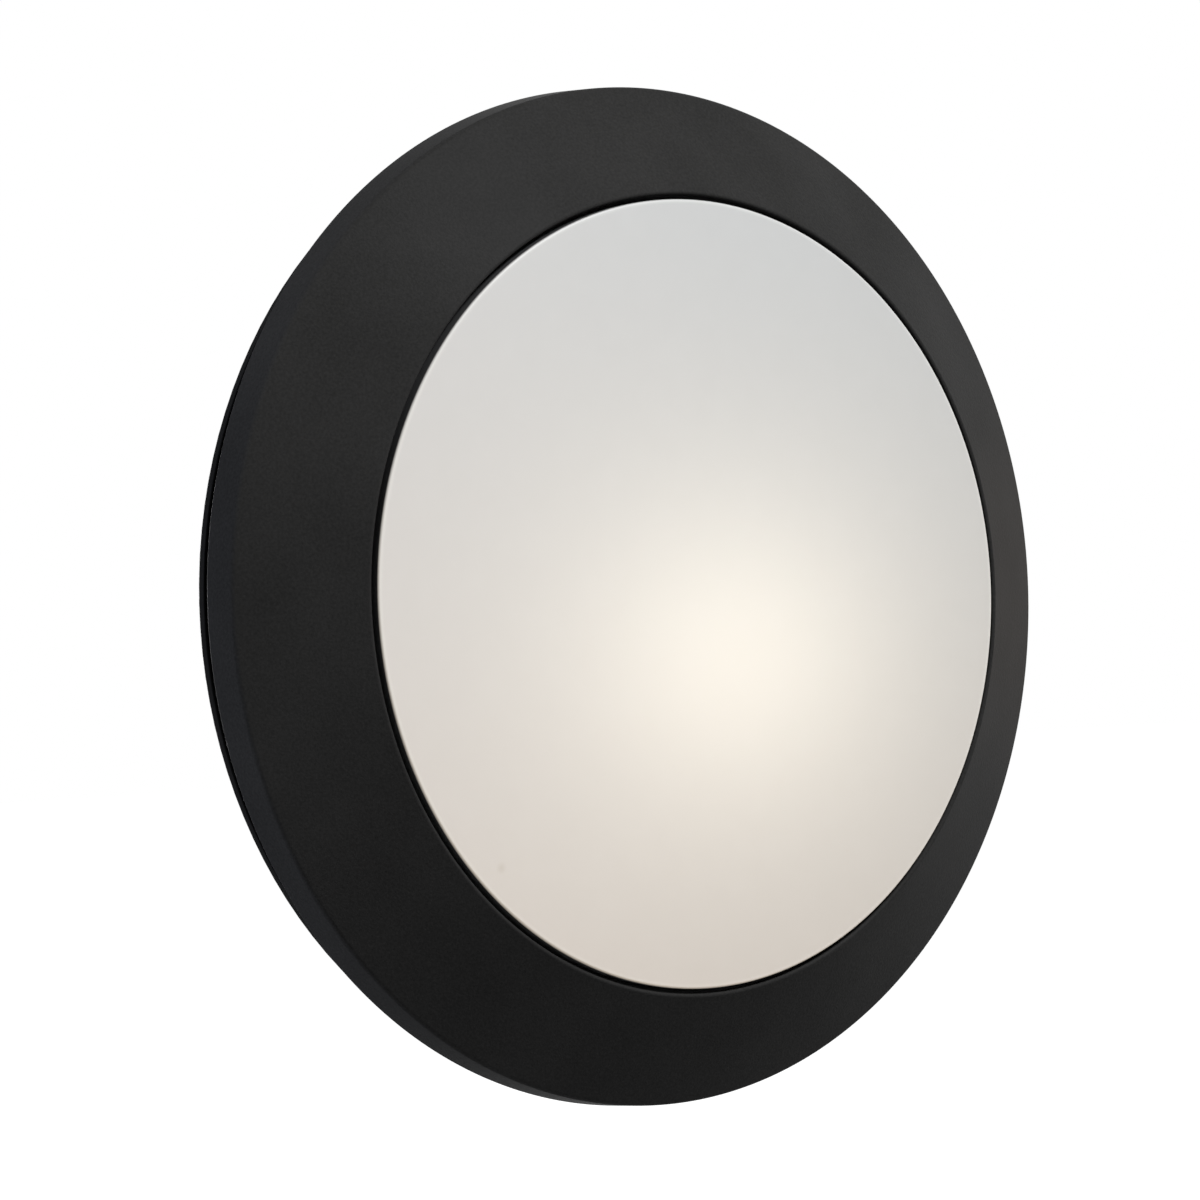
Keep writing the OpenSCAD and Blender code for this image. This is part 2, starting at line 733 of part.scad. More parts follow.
module terminal_screws() {
  head_z = term_bore_z + clamp_d / 2 + seal_touch;
  head_h = tower_h - 1.6 - head_z;
  slot_w = 0.7;
  color(brass) lamp_frame() translate([term_u, term_v, tray_top_z])
    for (k = [-1, 1], m = [-1, 1]) translate([m * tower_off, k * term_pitch / 2, 0]) difference() {
      union() {
        translate([0, 0, term_bore_z]) cylinder(d = term_shank_d, h = head_z - term_bore_z + over);
        translate([0, 0, head_z]) cylinder(d = term_head_d, h = head_h);
      }
      translate([-term_head_d, -slot_w / 2, head_z + head_h - 0.9]) cube([2 * term_head_d, slot_w, 2]);
    }
}

module block_screw() {
  tail = 4;
  color(zinc) lamp_frame() translate([term_u, term_v, 0]) {
    translate([0, 0, tray_z - tail]) cylinder(d = block_screw_d, h = tail + tray_t + web_h + over);
    translate([0, 0, tray_top_z + web_h]) turned([
      [0, 0, 0],
      [block_head_d / 2, 0, 0],
      [block_head_d / 2, block_head_h, 1.2],
      [0, block_head_h, 0]
    ]);
  }
}

// Wire: a tube along a cubic curve that leaves the block and turns back into the nipple
function cubic(p, t) =
  pow(1 - t, 3) * p[0] + 3 * pow(1 - t, 2) * t * p[1] + 3 * (1 - t) * t * t * p[2] + pow(t, 3) * p[3];
function wire_route(k) =
  let (
    start = [wire_start_u, term_v + k * term_pitch / 2, tray_top_z + term_bore_z],
    turn = [nipple_back_u, -k * wire_side, lamp_z],
    out = [wire_out - k * wire_spread, 0, 0],
    in = [wire_in - k * wire_spread / 2, 0, 0],
    loop = [start, start - out, turn - in, turn]
  )
  concat([for (i = [0 : wire_rings]) cubic(loop, i / wire_rings)], [[wire_end_u, -k * wire_side, lamp_z]]);
module wire(k) {
  path = wire_route(k);
  n = len(path);
  points = [
    for (i = [0 : n - 1])
      let (
        along = unit(path[min(i + 1, n - 1)] - path[max(i - 1, 0)]),
        across = unit(cross(along, [0, 0, 1])),
        upward = cross(across, along)
      )
      each [for (j = [0 : wire_sides - 1])
        let (a = 360 * j / wire_sides) path[i] + wire_r * (cos(a) * across + sin(a) * upward)]
  ];
  walls = [
    for (i = [0 : n - 2], j = [0 : wire_sides - 1])
      let (next = (j + 1) % wire_sides)
      [i * wire_sides + j, i * wire_sides + next, (i + 1) * wire_sides + next, (i + 1) * wire_sides + j]
  ];
  first = [for (j = [0 : wire_sides - 1]) wire_sides - 1 - j];
  last = [for (j = [0 : wire_sides - 1]) (n - 1) * wire_sides + j];
  lamp_frame() polyhedron(points, concat(walls, [first, last]));
}

module live_wire() {
  color("#6b3f22") wire(1);
}

module neutral_wire() {
  color("#2f56a8") wire(-1);
}

// Bezel: a sloping ring with a straight side, a rib on the seal, bayonet lugs and snap hooks
module bezel() {
  rib_low_z = seal_top_z + seal_touch;
  nib_low_z = nib_z - nib_h;
  lug = [
    [cover_lug_r, cover_lug_z, 0.6],
    [side_r + over, cover_lug_z, 0],
    [side_r + over, cover_lug_z + lug_t, 0],
    [cover_lug_r, cover_lug_z + lug_t, 0.6]
  ];
  hook = [
    [hook_r, under_z(hook_r) + over, 0],
    [hook_r, nib_z, 0],
    [flange_r - hook_nib, nib_z, 0.4],
    [hook_r + hook_t / 2, nib_low_z, 0],
    [hook_r + hook_t, nib_low_z, 0],
    [hook_r + hook_t, under_z(hook_r + hook_t) + over, 0]
  ];
  color(resin) stand() {
    turned([
      [bezel_r, back_z, 0.6],
      [corner_r, corner_z, bezel_corner_r],
      [window_r, lip_z, bezel_lip_r],
      [window_r, under_z(window_r), 0.4],
      [seal_r - rib_w / 2, under_z(seal_r - rib_w / 2), 0],
      [seal_r - rib_w / 2, rib_low_z, 0.4],
      [seal_r + rib_w / 2, rib_low_z, 0.4],
      [seal_r + rib_w / 2, under_z(seal_r + rib_w / 2), 0],
      [side_r, under_z(side_r), 0],
      [side_r, back_z, 0.6]
    ]);
    for (i = [0 : lug_count - 1]) turned_part(lug, i * lug_pitch - lug_arc / 2, lug_arc);
    for (i = [0 : hook_count - 1]) turned_part(hook, (i + 0.5) * 360 / hook_count - hook_arc / 2, hook_arc);
  }
}

module diffuser() {
  color(opal) stand() rotate_extrude() polygon(rounded(concat(
    [for (i = [0 : crown_steps - 1])
      let (r = (diff_r - diffuser_edge_r) * i / crown_steps) [r, crown_z(r), 0]],
    [
      [diff_r, edge_z, diffuser_edge_r],
      [diff_r, flange_z, 0],
      [flange_r, flange_z, 0.5],
      [flange_r, flange_low_z, 0.5],
      [diff_in_r, flange_low_z, 0]
    ],
    [for (i = [crown_steps : -1 : 0])
      let (r = diff_in_r * i / crown_steps)
      [r, crown_z(r) - diffuser_wall, i == crown_steps ? diffuser_edge_r : 0]]
  )));
}

module diffuser_seal() {
  color(rubber) stand() rotate_extrude() translate([ring_r, ring_z]) circle(d = ring_d, $fn = 32);
}

base();
cable_grommet();
fixing_washers();
cover_seal();
tray();
tray_screws();
holder_bracket();
bracket_rivets();
holder_nipple();
holder_lock_nut();
holder_dome();
holder_insulator();
holder_sleeve();
holder_contact();
holder_skirt();
lamp();
terminal_block();
terminal_clamps();
terminal_screws();
block_screw();
live_wire();
neutral_wire();
bezel();
diffuser();
diffuser_seal();
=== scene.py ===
import math

import bmesh
import bpy
from mathutils import Matrix, Vector


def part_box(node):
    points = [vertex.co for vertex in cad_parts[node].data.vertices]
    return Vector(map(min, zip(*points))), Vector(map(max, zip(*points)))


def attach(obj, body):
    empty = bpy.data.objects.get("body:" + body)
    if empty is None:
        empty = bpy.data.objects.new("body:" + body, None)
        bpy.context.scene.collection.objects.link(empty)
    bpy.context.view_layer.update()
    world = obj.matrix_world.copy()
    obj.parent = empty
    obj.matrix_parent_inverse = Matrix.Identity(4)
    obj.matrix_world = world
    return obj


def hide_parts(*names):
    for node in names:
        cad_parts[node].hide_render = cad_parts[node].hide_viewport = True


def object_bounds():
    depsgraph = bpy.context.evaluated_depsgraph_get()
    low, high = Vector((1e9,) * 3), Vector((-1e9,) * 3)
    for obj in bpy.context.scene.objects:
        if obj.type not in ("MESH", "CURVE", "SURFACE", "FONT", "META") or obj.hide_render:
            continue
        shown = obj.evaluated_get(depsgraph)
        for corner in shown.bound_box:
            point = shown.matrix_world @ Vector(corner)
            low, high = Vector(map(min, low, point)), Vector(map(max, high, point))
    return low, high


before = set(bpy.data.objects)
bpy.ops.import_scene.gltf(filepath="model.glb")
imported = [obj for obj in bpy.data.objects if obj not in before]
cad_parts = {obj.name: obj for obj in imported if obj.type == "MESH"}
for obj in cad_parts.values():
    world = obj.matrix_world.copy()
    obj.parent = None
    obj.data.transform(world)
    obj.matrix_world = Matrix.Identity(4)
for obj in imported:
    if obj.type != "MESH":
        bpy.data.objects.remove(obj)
cad_low, cad_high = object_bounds()

# Base dish: one deep moulding of glass-filled black resin, screwed flat to the wall. Its flared side,
# thick rim and bayonet lugs leave the mould with the same fine matte grain.
MM = 0.001


def linear(colour):
    """An sRGB hex colour as the linear values that a shader takes."""
    parts = [int(colour[i : i + 2], 16) / 255 for i in (1, 3, 5)]
    return [c / 12.92 if c <= 0.04045 else ((c + 0.055) / 1.055) ** 2.4 for c in parts] + [1.0]


def add(tree, kind, sockets=None, **settings):
    """Adds a node to a tree. A socket gets a constant, or an output to link from."""
    made = tree.nodes.new(kind)
    for name, value in settings.items():
        setattr(made, name, value)
    for name, value in (sockets or {}).items():
        if isinstance(value, bpy.types.NodeSocket):
            tree.links.new(value, made.inputs[name])
        else:
            made.inputs[name].default_value = value
    return made


def new_finish(name):
    """An empty material, its node tree, and the place on the piece that its patterns read."""
    finish = bpy.data.materials.new(name)
    finish.use_nodes = True
    finish.node_tree.nodes.clear()
    return finish, finish.node_tree, add(finish.node_tree, "ShaderNodeTexCoord").outputs["Object"]


def dress(finish, *nodes):
    """Gives solids that keep their own shape their finish."""
    for node in nodes:
        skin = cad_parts[node].data.materials
        skin.clear()
        skin.append(finish)


def moulded_resin(name, dark, light, gloss):
    """A dull resin skin with slow clouds where the filler flowed and a fine spark-eroded grain. The grain is
    about 0.15 mm wide, drawn coarser to show, and scatters most of the gloss."""
    finish, tree, place = new_finish(name)
    grain_mm, grain_depth_mm, grain_share = 0.8, 0.12, 0.6
    flow_mm = 30
    grain = add(tree, "ShaderNodeTexNoise", {"Vector": place, "Scale": 1 / (grain_mm * MM), "Detail": 3.0})
    flow = add(tree, "ShaderNodeTexNoise", {"Vector": place, "Scale": 1 / (flow_mm * MM), "Detail": 4.0})
    mottle = add(tree, "ShaderNodeMix", {0: grain_share, 2: flow.outputs["Fac"], 3: grain.outputs["Fac"]})
    tint = add(
        tree,
        "ShaderNodeMix",
        {0: mottle.outputs[0], 6: linear(dark), 7: linear(light)},
        data_type="RGBA",
    )
    dullness = add(
        tree,
        "ShaderNodeMapRange",
        {"Value": grain.outputs["Fac"], "To Min": 0.32, "To Max": 0.45},
    )
    relief = add(
        tree,
        "ShaderNodeBump",
        {"Height": grain.outputs["Fac"], "Strength": 0.5, "Distance": grain_depth_mm * MM},
    )
    shader = add(
        tree,
        "ShaderNodeBsdfPrincipled",
        {
            "Base Color": tint.outputs[2],
            "Roughness": dullness.outputs[0],
            "Specular IOR Level": gloss,
            "Normal": relief.outputs[0],
        },
    )
    add(tree, "ShaderNodeOutputMaterial", {"Surface": shader.outputs["BSDF"]})
    return finish


# Black resin of the base: deep black, darker than the bezel, as painted shade on its rim that shows behind
# the bezel.
dress(moulded_resin("moulded_black_resin", "#131313", "#202020", gloss=0.008), "base")

# Grommet, washers and cover seal: soft black rubber, pressed in a mould. The grommet snaps into the base, a
# washer lies under each wall screw, and the seal lies in the groove of the base's rim.
# EPDM rubber: a flat dark grey with a faint pale bloom in patches.
rubber, tree, place = new_finish("moulded_epdm_rubber")
bloom_mm = 6
bloom = add(tree, "ShaderNodeTexNoise", {"Vector": place, "Scale": 1 / (bloom_mm * MM), "Detail": 5.0})
tint = add(
    tree,
    "ShaderNodeMix",
    {0: bloom.outputs["Fac"], 6: linear("#1a1a1b"), 7: linear("#2e2e2e")},
    data_type="RGBA",
)
dullness = add(tree, "ShaderNodeMapRange", {"Value": bloom.outputs["Fac"], "To Min": 0.7, "To Max": 0.85})
shader = add(
    tree,
    "ShaderNodeBsdfPrincipled",
    {"Base Color": tint.outputs[2], "Roughness": dullness.outputs[0], "Specular IOR Level": 0.3},
)
add(tree, "ShaderNodeOutputMaterial", {"Surface": shader.outputs["BSDF"]})
dress(rubber, "cable_grommet", "fixing_washers", "cover_seal")

# Tray: a thin aluminium sheet, spun to a shallow dish and stoved white, which throws the lamp's light
# forward. Three screws hold it on the base's bosses.
# White enamel: bright, half glossy, with the low waves of sprayed paint.
enamel, tree, place = new_finish("stoved_white_enamel")
paint_wave_mm = 2.5
waves = add(tree, "ShaderNodeTexNoise", {"Vector": place, "Scale": 1 / (paint_wave_mm * MM), "Detail": 1.0})
tint = add(
    tree,
    "ShaderNodeMix",
    {0: waves.outputs["Fac"], 6: linear("#ecece7"), 7: linear("#f5f5f2")},
    data_type="RGBA",
)
relief = add(tree, "ShaderNodeBump", {"Height": waves.outputs["Fac"], "Strength": 0.2, "Distance": 0.1 * MM})
shader = add(
    tree,
    "ShaderNodeBsdfPrincipled",
    {"Base Color": tint.outputs[2], "Roughness": 0.3, "Normal": relief.outputs[0]},
)
add(tree, "ShaderNodeOutputMaterial", {"Surface": shader.outputs["BSDF"]})
dress(enamel, "tray")

# Tray screws: three thread-forming screws of zinc-plated steel with pan heads and a cross recess, driven
# through the tray into the base's bosses. Their heads are headed cold and their threads are rolled.
# Shapes are drawn in mm on an axis that points away from the wall. stand sets them up in the frame, and
# lamp_frame also turns them to the slant at which the lamp lies.
TURN = 2 * math.pi
sharp_angle = math.radians(35)
stand = Matrix.Scale(MM, 4) @ Matrix.Rotation(TURN / 4, 4, "X")
lamp_turn = math.radians(45)
lamp_frame = stand @ Matrix.Rotation(-lamp_turn, 4, "Z")


def rounded(path, steps=8, hold=0.3, side_share=0.49):
    """A profile of (radius, height, corner) in mm as points. Each corner with a radius becomes an arc, which
    takes at most side_share of either side, with a point held close to each end of it so that the flats
    beside it shade flat."""
    points = []
    for i, (r, z, corner) in enumerate(path):
        here = Vector((r, z))
        if not corner:
            points.append(here)
            continue
        before = Vector(path[i - 1][:2]) - here
        after = Vector(path[(i + 1) % len(path)][:2]) - here
        half = before.angle(after) / 2
        reach = min(corner / math.tan(half), side_share * before.length, side_share * after.length)
        before.normalize()
        after.normalize()
        middle = here + (before + after).normalized() * (reach / math.cos(half))
        start = here + before * reach - middle
        sweep = start.angle_signed(here + after * reach - middle)
        points.append(here + before * (reach + hold))
        points += [middle + Matrix.Rotation(-sweep * k / steps, 2) @ start for k in range(steps + 1)]
        points.append(here + after * (reach + hold))
    return points


def new_tree(name, **kinds):
    """A Geometry Nodes tree with these named inputs, and the sockets that give them."""
    tree = bpy.data.node_groups.new(name, "GeometryNodeTree")
    for label, kind in {"Geometry": "Geometry", **kinds, "Finish": "Material"}.items():
        tree.interface.new_socket(label, in_out="INPUT", socket_type="NodeSocket" + kind)
    tree.interface.new_socket("Geometry", in_out="OUTPUT", socket_type="NodeSocketGeometry")
    return tree, add(tree, "NodeGroupInput").outputs


def end_tree(tree, given, shape):
    """Ends a tree with real, joined and smoothly shaded geometry that has its finish."""
    weld_mm = 0.001
    real = add(tree, "GeometryNodeRealizeInstances", {"Geometry": shape})
    whole = add(tree, "GeometryNodeMergeByDistance", {"Geometry": real.outputs[0], "Distance": weld_mm})
    smooth = add(tree, "GeometryNodeSetShadeSmooth", {"Geometry": whole.outputs[0]})
    done = add(tree, "GeometryNodeSetMaterial", {"Geometry": smooth.outputs[0], "Material": given["Finish"]})
    add(tree, "NodeGroupOutput", {"Geometry": done.outputs[0]})


def run_tree(tree, name, blank, place=None, **sizes):
    """Runs a tree on a blank mesh and keeps the result, put in its place, as a plain mesh object. Its finish
    is its only one: caps made by a tree can leave an empty slot before it."""
    piece = bpy.data.objects.new(name, blank)
    bpy.context.scene.collection.objects.link(piece)
    run = piece.modifiers.new(tree.name, "NODES")
    run.node_group = tree
    for socket in tree.interface.items_tree:
        if socket.in_out == "INPUT" and socket.name in sizes:
            run[socket.identifier] = sizes[socket.name]
    shape = bpy.data.meshes.new_from_object(piece.evaluated_get(bpy.context.evaluated_depsgraph_get()))
    piece.modifiers.remove(run)
    piece.data = shape
    shape.materials.clear()
    shape.materials.append(sizes["Finish"])
    skin = bmesh.new()
    skin.from_mesh(shape)
    bmesh.ops.recalc_face_normals(skin, faces=skin.faces)
    skin.to_mesh(shape)
    skin.free()
    shape.set_sharp_from_angle(angle=sharp_angle)
    if place:
        shape.transform(place)
    return piece


# Turned shape: sweeps a profile round an axis, once or over Count equal stretches of it.
turning, given = new_tree(
    "turned_shape",
    Steps="Int",
    Count="Int",
    Start="Float",
    Sweep="Float",
    Radius="Float",
)
profile = add(turning, "GeometryNodeMeshToCurve", {"Mesh": given["Geometry"]})
circle = add(
    turning,
    "GeometryNodeCurvePrimitiveCircle",
    {"Resolution": given["Steps"], "Radius": given["Radius"]},
)
arc = add(
    turning,
    "GeometryNodeCurveArc",
    {
        "Resolution": given["Steps"],
        "Radius": given["Radius"],
        "Start Angle": given["Start"],
        "Sweep Angle": given["Sweep"],
    },
)
nearly_whole = TURN - 0.001
parted = add(turning, "FunctionNodeCompare", {"A": given["Sweep"], "B": nearly_whole}, operation="LESS_THAN")
way = add(
    turning,
    "GeometryNodeSwitch",
    {"Switch": parted.outputs[0], "False": circle.outputs[0], "True": arc.outputs[0]},
    input_type="GEOMETRY",
)
upright = add(turning, "GeometryNodeSetCurveNormal", {"Curve": way.outputs[0]}, mode="Z_UP")
swept = add(
    turning,
    "GeometryNodeCurveToMesh",
    {"Curve": upright.outputs[0], "Profile Curve": profile.outputs[0], "Fill Caps": parted.outputs[0]},
)
centres = add(turning, "GeometryNodePoints", {"Count": given["Count"]})
share = add(turning, "ShaderNodeMath", {0: TURN, 1: given["Count"]}, operation="DIVIDE")
number = add(turning, "GeometryNodeInputIndex")
angle = add(turning, "ShaderNodeMath", {0: share.outputs[0], 1: number.outputs[0]}, operation="MULTIPLY")
spin = add(turning, "ShaderNodeCombineXYZ", {"Z": angle.outputs[0]})
spread = add(
    turning,
    "GeometryNodeInstanceOnPoints",
    {"Points": centres.outputs[0], "Instance": swept.outputs[0], "Rotation": spin.outputs[0]},
)
end_tree(turning, given, spread.outputs[0])


def turned(name, path, finish, place=None, row=None, steps=96, count=1, start=0.0, sweep=TURN):
    """A turned piece from a profile of (radius, height, corner) in mm. A profile that starts and ends on the
    axis is left open there, and row is the longest step along it."""
    points = rounded(path)
    if row:
        fine = []
        for a, b in zip(points, points[1:] + points[:1]):
            parts = max(1, math.ceil((b - a).length / row))
            fine += [a.lerp(b, k / parts) for k in range(parts)]
        points = fine
    closed = path[0][0] > 0
    if not closed:
        ends = [i for i, p in enumerate(points) if p.x == 0 and points[i - 1].x > 0]
        points = points[: ends[-1] + 1]
    middle = sum(p.x for p in points) / len(points)
    blank = bpy.data.meshes.new(name)
    edges = [(i, i + 1) for i in range(len(points) - 1)] + ([(len(points) - 1, 0)] if closed else [])
    blank.from_pydata([(p.x - middle, -p.y, 0) for p in points], edges, [])
    return run_tree(
        turning,
        name,
        blank,
        place,
        Steps=steps,
        Count=count,
        Start=start,
        Sweep=sweep,
        Radius=middle,
        Finish=finish,
    )


# Rolled thread: waves a turned blank in and out along a helix between two heights, outside a given radius.
# A blank has fine_rows rows of faces in one pitch, or cap_rows in the coarse one of the lamp's cap.
fine_rows, cap_rows = 6, 10
threading, given = new_tree(
    "rolled_thread",
    Pitch="Float",
    Depth="Float",
    Low="Float",
    High="Float",
    Outside="Float",
)
spot = add(threading, "GeometryNodeInputPosition")
parts = add(threading, "ShaderNodeSeparateXYZ", {0: spot.outputs[0]})
flat = add(threading, "ShaderNodeCombineXYZ", {"X": parts.outputs["X"], "Y": parts.outputs["Y"]})
outward = add(threading, "ShaderNodeVectorMath", {0: flat.outputs[0]}, operation="NORMALIZE")
distance = add(threading, "ShaderNodeVectorMath", {0: flat.outputs[0]}, operation="LENGTH")
heading = add(
    threading,
    "ShaderNodeMath",
    {0: parts.outputs["Y"], 1: parts.outputs["X"]},
    operation="ARCTAN2",
)
climb = add(threading, "ShaderNodeMath", {0: parts.outputs["Z"], 1: given["Pitch"]}, operation="DIVIDE")
turns = add(threading, "ShaderNodeMath", {0: climb.outputs[0], 1: TURN}, operation="MULTIPLY")
phase = add(threading, "ShaderNodeMath", {0: turns.outputs[0], 1: heading.outputs[0]}, operation="SUBTRACT")
wave = add(threading, "ShaderNodeMath", {0: phase.outputs[0]}, operation="COSINE")
above = add(threading, "ShaderNodeMath", {0: given["Low"], 1: given["Pitch"]}, operation="ADD")
below = add(threading, "ShaderNodeMath", {0: given["High"], 1: given["Pitch"]}, operation="SUBTRACT")
rise = add(
    threading,
    "ShaderNodeMapRange",
    {"Value": parts.outputs["Z"], "From Min": given["Low"], "From Max": above.outputs[0]},
)
fall = add(
    threading,
    "ShaderNodeMapRange",
    {"Value": parts.outputs["Z"], "From Min": given["High"], "From Max": below.outputs[0]},
)
run_in = add(threading, "ShaderNodeMath", {0: rise.outputs[0], 1: fall.outputs[0]}, operation="MULTIPLY")
height = add(threading, "ShaderNodeMath", {0: given["Depth"], 1: 0.5}, operation="MULTIPLY")
swell = add(threading, "ShaderNodeMath", {0: wave.outputs[0], 1: height.outputs[0]}, operation="MULTIPLY")
eased = add(threading, "ShaderNodeMath", {0: swell.outputs[0], 1: run_in.outputs[0]}, operation="MULTIPLY")
push = add(
    threading,
    "ShaderNodeVectorMath",
    {0: outward.outputs[0], "Scale": eased.outputs[0]},
    operation="SCALE",
)
beyond = add(
    threading,
    "FunctionNodeCompare",
    {"A": distance.outputs["Value"], "B": given["Outside"]},
    operation="GREATER_THAN",
)
rolled = add(
    threading,
    "GeometryNodeSetPosition",
    {"Geometry": given["Geometry"], "Selection": beyond.outputs[0], "Offset": push.outputs[0]},
)
end_tree(threading, given, rolled.outputs[0])


def threaded(piece, finish, pitch, depth, low, high, outside=0.0, place=None):
    """Rolls a thread on a turned blank and returns it as the finished piece."""
    name = piece.name
    blank = piece.data
    bpy.data.objects.remove(piece)
    return run_tree(
        threading,
        name,
        blank,
        place,
        Pitch=pitch,
        Depth=depth,
        Low=low,
        High=high,
        Outside=outside,
        Finish=finish,
    )


# Set of fasteners: puts one fastener at each point, each turned about its own axis by a fixed seed.
setting, given = new_tree("set_of_fasteners", Fastener="Object", Seed="Int")
model = add(setting, "GeometryNodeObjectInfo", {"Object": given["Fastener"]})
twist = add(setting, "FunctionNodeRandomValue", {"Max": TURN, "Seed": given["Seed"]}, data_type="FLOAT")
facing = add(setting, "ShaderNodeCombineXYZ", {"Z": twist.outputs["Value"]})
placed = add(
    setting,
    "GeometryNodeInstanceOnPoints",
    {"Points": given["Geometry"], "Instance": model.outputs["Geometry"], "Rotation": facing.outputs[0]},
)
end_tree(setting, given, placed.outputs[0])


def set_fasteners(name, model, spots, finish, seed):
    """Copies of one fastener at spots (u, v, z) in mm in the lamp's frame, as one piece."""
    points = bpy.data.meshes.new(name)
    points.from_pydata(spots, [], [])
    piece = run_tree(setting, name, points, lamp_frame, Fastener=model, Seed=seed, Finish=finish)
    bpy.data.objects.remove(model)
    return piece


def pan_head_screw(finish, head_d, head_h, shank_d, length, pitch):
    """A pan-head screw with its cross recess, standing on z = 0 under its head."""
    crest, depth = shank_d / 2, 0.26 * shank_d
    point_r, thread_end = 0.3 * crest, -0.2
    head_round = 0.6 * head_h
    blank = turned(
        "screw",
        [
            (0, -length, 0),
            (point_r, -length, 0),
            (crest - depth / 2, crest - length, 0),
            (crest - depth / 2, 0, 0),
            (head_d / 2, 0, 0),
            (head_d / 2, head_h, head_round),
            (0, head_h, 0),
        ],
        finish,
        row=pitch / fine_rows,
        steps=32,
    )
    screw = threaded(blank, finish, pitch, depth, -length, thread_end)
    wing, blade, recess_z, recess_taper = 0.52 * head_d, 0.13 * head_d, 0.9 * head_h, 0.6
    cutter = bmesh.new()
    for turn in (0, TURN / 4):
        bar = bmesh.ops.create_cube(cutter, size=1)["verts"]
        bmesh.ops.scale(cutter, vec=(wing, blade, head_h), verts=bar)
        bmesh.ops.translate(cutter, vec=(0, 0, recess_z), verts=bar)
        for v in bar:
            if v.co.z < head_h:
                v.co.xy = v.co.xy * recess_taper
        bmesh.ops.rotate(cutter, matrix=Matrix.Rotation(turn, 3, "Z"), verts=bar)
    bit = bpy.data.meshes.new("driver_bit")
    cutter.to_mesh(bit)
    cutter.free()
    driver = bpy.data.objects.new("driver_bit", bit)
    bpy.context.scene.collection.objects.link(driver)
    recess = screw.modifiers.new("recess", "BOOLEAN")
    recess.object = driver
    recess.use_self = True
    cut = bpy.data.meshes.new_from_object(screw.evaluated_get(bpy.context.evaluated_depsgraph_get()))
    screw.modifiers.clear()
    screw.data = cut
    bpy.data.objects.remove(driver)
    return screw


# Zinc-plated steel: a cool grey metal with a fine, cloudy crystal spangle.
zinc, tree, place = new_finish("zinc_plated_steel")
spangle_mm, haze_mm = 1.5, 7.5
spangle = add(tree, "ShaderNodeTexVoronoi", {"Vector": place, "Scale": 1 / (spangle_mm * MM)})
haze = add(tree, "ShaderNodeTexNoise", {"Vector": place, "Scale": 1 / (haze_mm * MM), "Detail": 4.0})
tint = add(
    tree,
    "ShaderNodeMix",
    {0: haze.outputs["Fac"], 6: linear("#a2a7ac"), 7: linear("#c3c6c9")},
    data_type="RGBA",
)
dullness = add(
    tree,
    "ShaderNodeMapRange",
    {"Value": spangle.outputs["Distance"], "To Min": 0.28, "To Max": 0.42},
)
shader = add(
    tree,
    "ShaderNodeBsdfPrincipled",
    {"Base Color": tint.outputs[2], "Metallic": 1.0, "Roughness": dullness.outputs[0]},
)
add(tree, "ShaderNodeOutputMaterial", {"Surface": shader.outputs["BSDF"]})

tray_top = 15.0
tray_screw_r = 80.0
tray_screw_angles = [math.radians(a) for a in (90, 210, 330)]
tray_screws = set_fasteners(
    "tray_pan_screws",
    pan_head_screw(zinc, head_d=7.6, head_h=2.6, shank_d=3.8, length=9.0, pitch=1.4),
    [(tray_screw_r * math.cos(a), tray_screw_r * math.sin(a), tray_top) for a in tray_screw_angles],
    zinc,
    seed=4,
)
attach(tray_screws, "base")
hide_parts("tray_screws")

# Bracket: one strip of zinc-plated steel, folded to an angle. Its foot is riveted to the tray, and its round
# upright is drilled for the nipple that carries the lampholder.
dress(zinc, "holder_bracket")

# Rivets: two blind rivets of plain aluminium, set from the front, with the broken stem sunk in the head.
# Plain aluminium: pale and soft, with the fine scratches of the riveting tool.
aluminium, tree, place = new_finish("plain_aluminium")
scratch_mm = 0.35
scratches = add(
    tree,
    "ShaderNodeTexNoise",
    {"Vector": place, "Scale": 1 / (scratch_mm * MM), "Detail": 2.0, "Distortion": 1.5},
)
tint = add(
    tree,
    "ShaderNodeMix",
    {0: scratches.outputs["Fac"], 6: linear("#bfc1c2"), 7: linear("#d4d5d5")},
    data_type="RGBA",
)
dullness = add(
    tree,
    "ShaderNodeMapRange",
    {"Value": scratches.outputs["Fac"], "To Min": 0.25, "To Max": 0.45},
)
shader = add(
    tree,
    "ShaderNodeBsdfPrincipled",
    {"Base Color": tint.outputs[2], "Metallic": 1.0, "Roughness": dullness.outputs[0]},
)
add(tree, "ShaderNodeOutputMaterial", {"Surface": shader.outputs["BSDF"]})

bracket_t = 2.0
rivet_r, rivet_grip = 2.0, 3.0
tail_r, tail_h = 3.0, 1.4
head_r, head_rim, head_h, head_flat_r = 3.5, 0.5, 1.4, 2.4
stem_r, stem_rim_z, stem_z = 1.1, 0.8, 0.7
rivet = turned(
    "rivet",
    [
        (0, -rivet_grip - tail_h, 0),
        (tail_r, -rivet_grip - tail_h, 0.8),
        (tail_r, -rivet_grip, 0),
        (rivet_r, -rivet_grip, 0),
        (rivet_r, 0, 0),
        (head_r, 0, 0),
        (head_r, head_rim, 0.25),
        (head_flat_r, head_h, 0.9),
        (stem_r, head_h, 0.15),
        (stem_r, stem_rim_z, 0),
        (0, stem_z, 0),
    ],
    aluminium,
    steps=48,
)
rivet_u = -57.6
rivet_v = 9.0
rivets = set_fasteners(
    "bracket_blind_rivets",
    rivet,
    [(rivet_u, side * rivet_v, tray_top + bracket_t) for side in (-1, 1)],
    aluminium,
    seed=2,
)
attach(rivets, "base")
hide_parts("bracket_rivets")

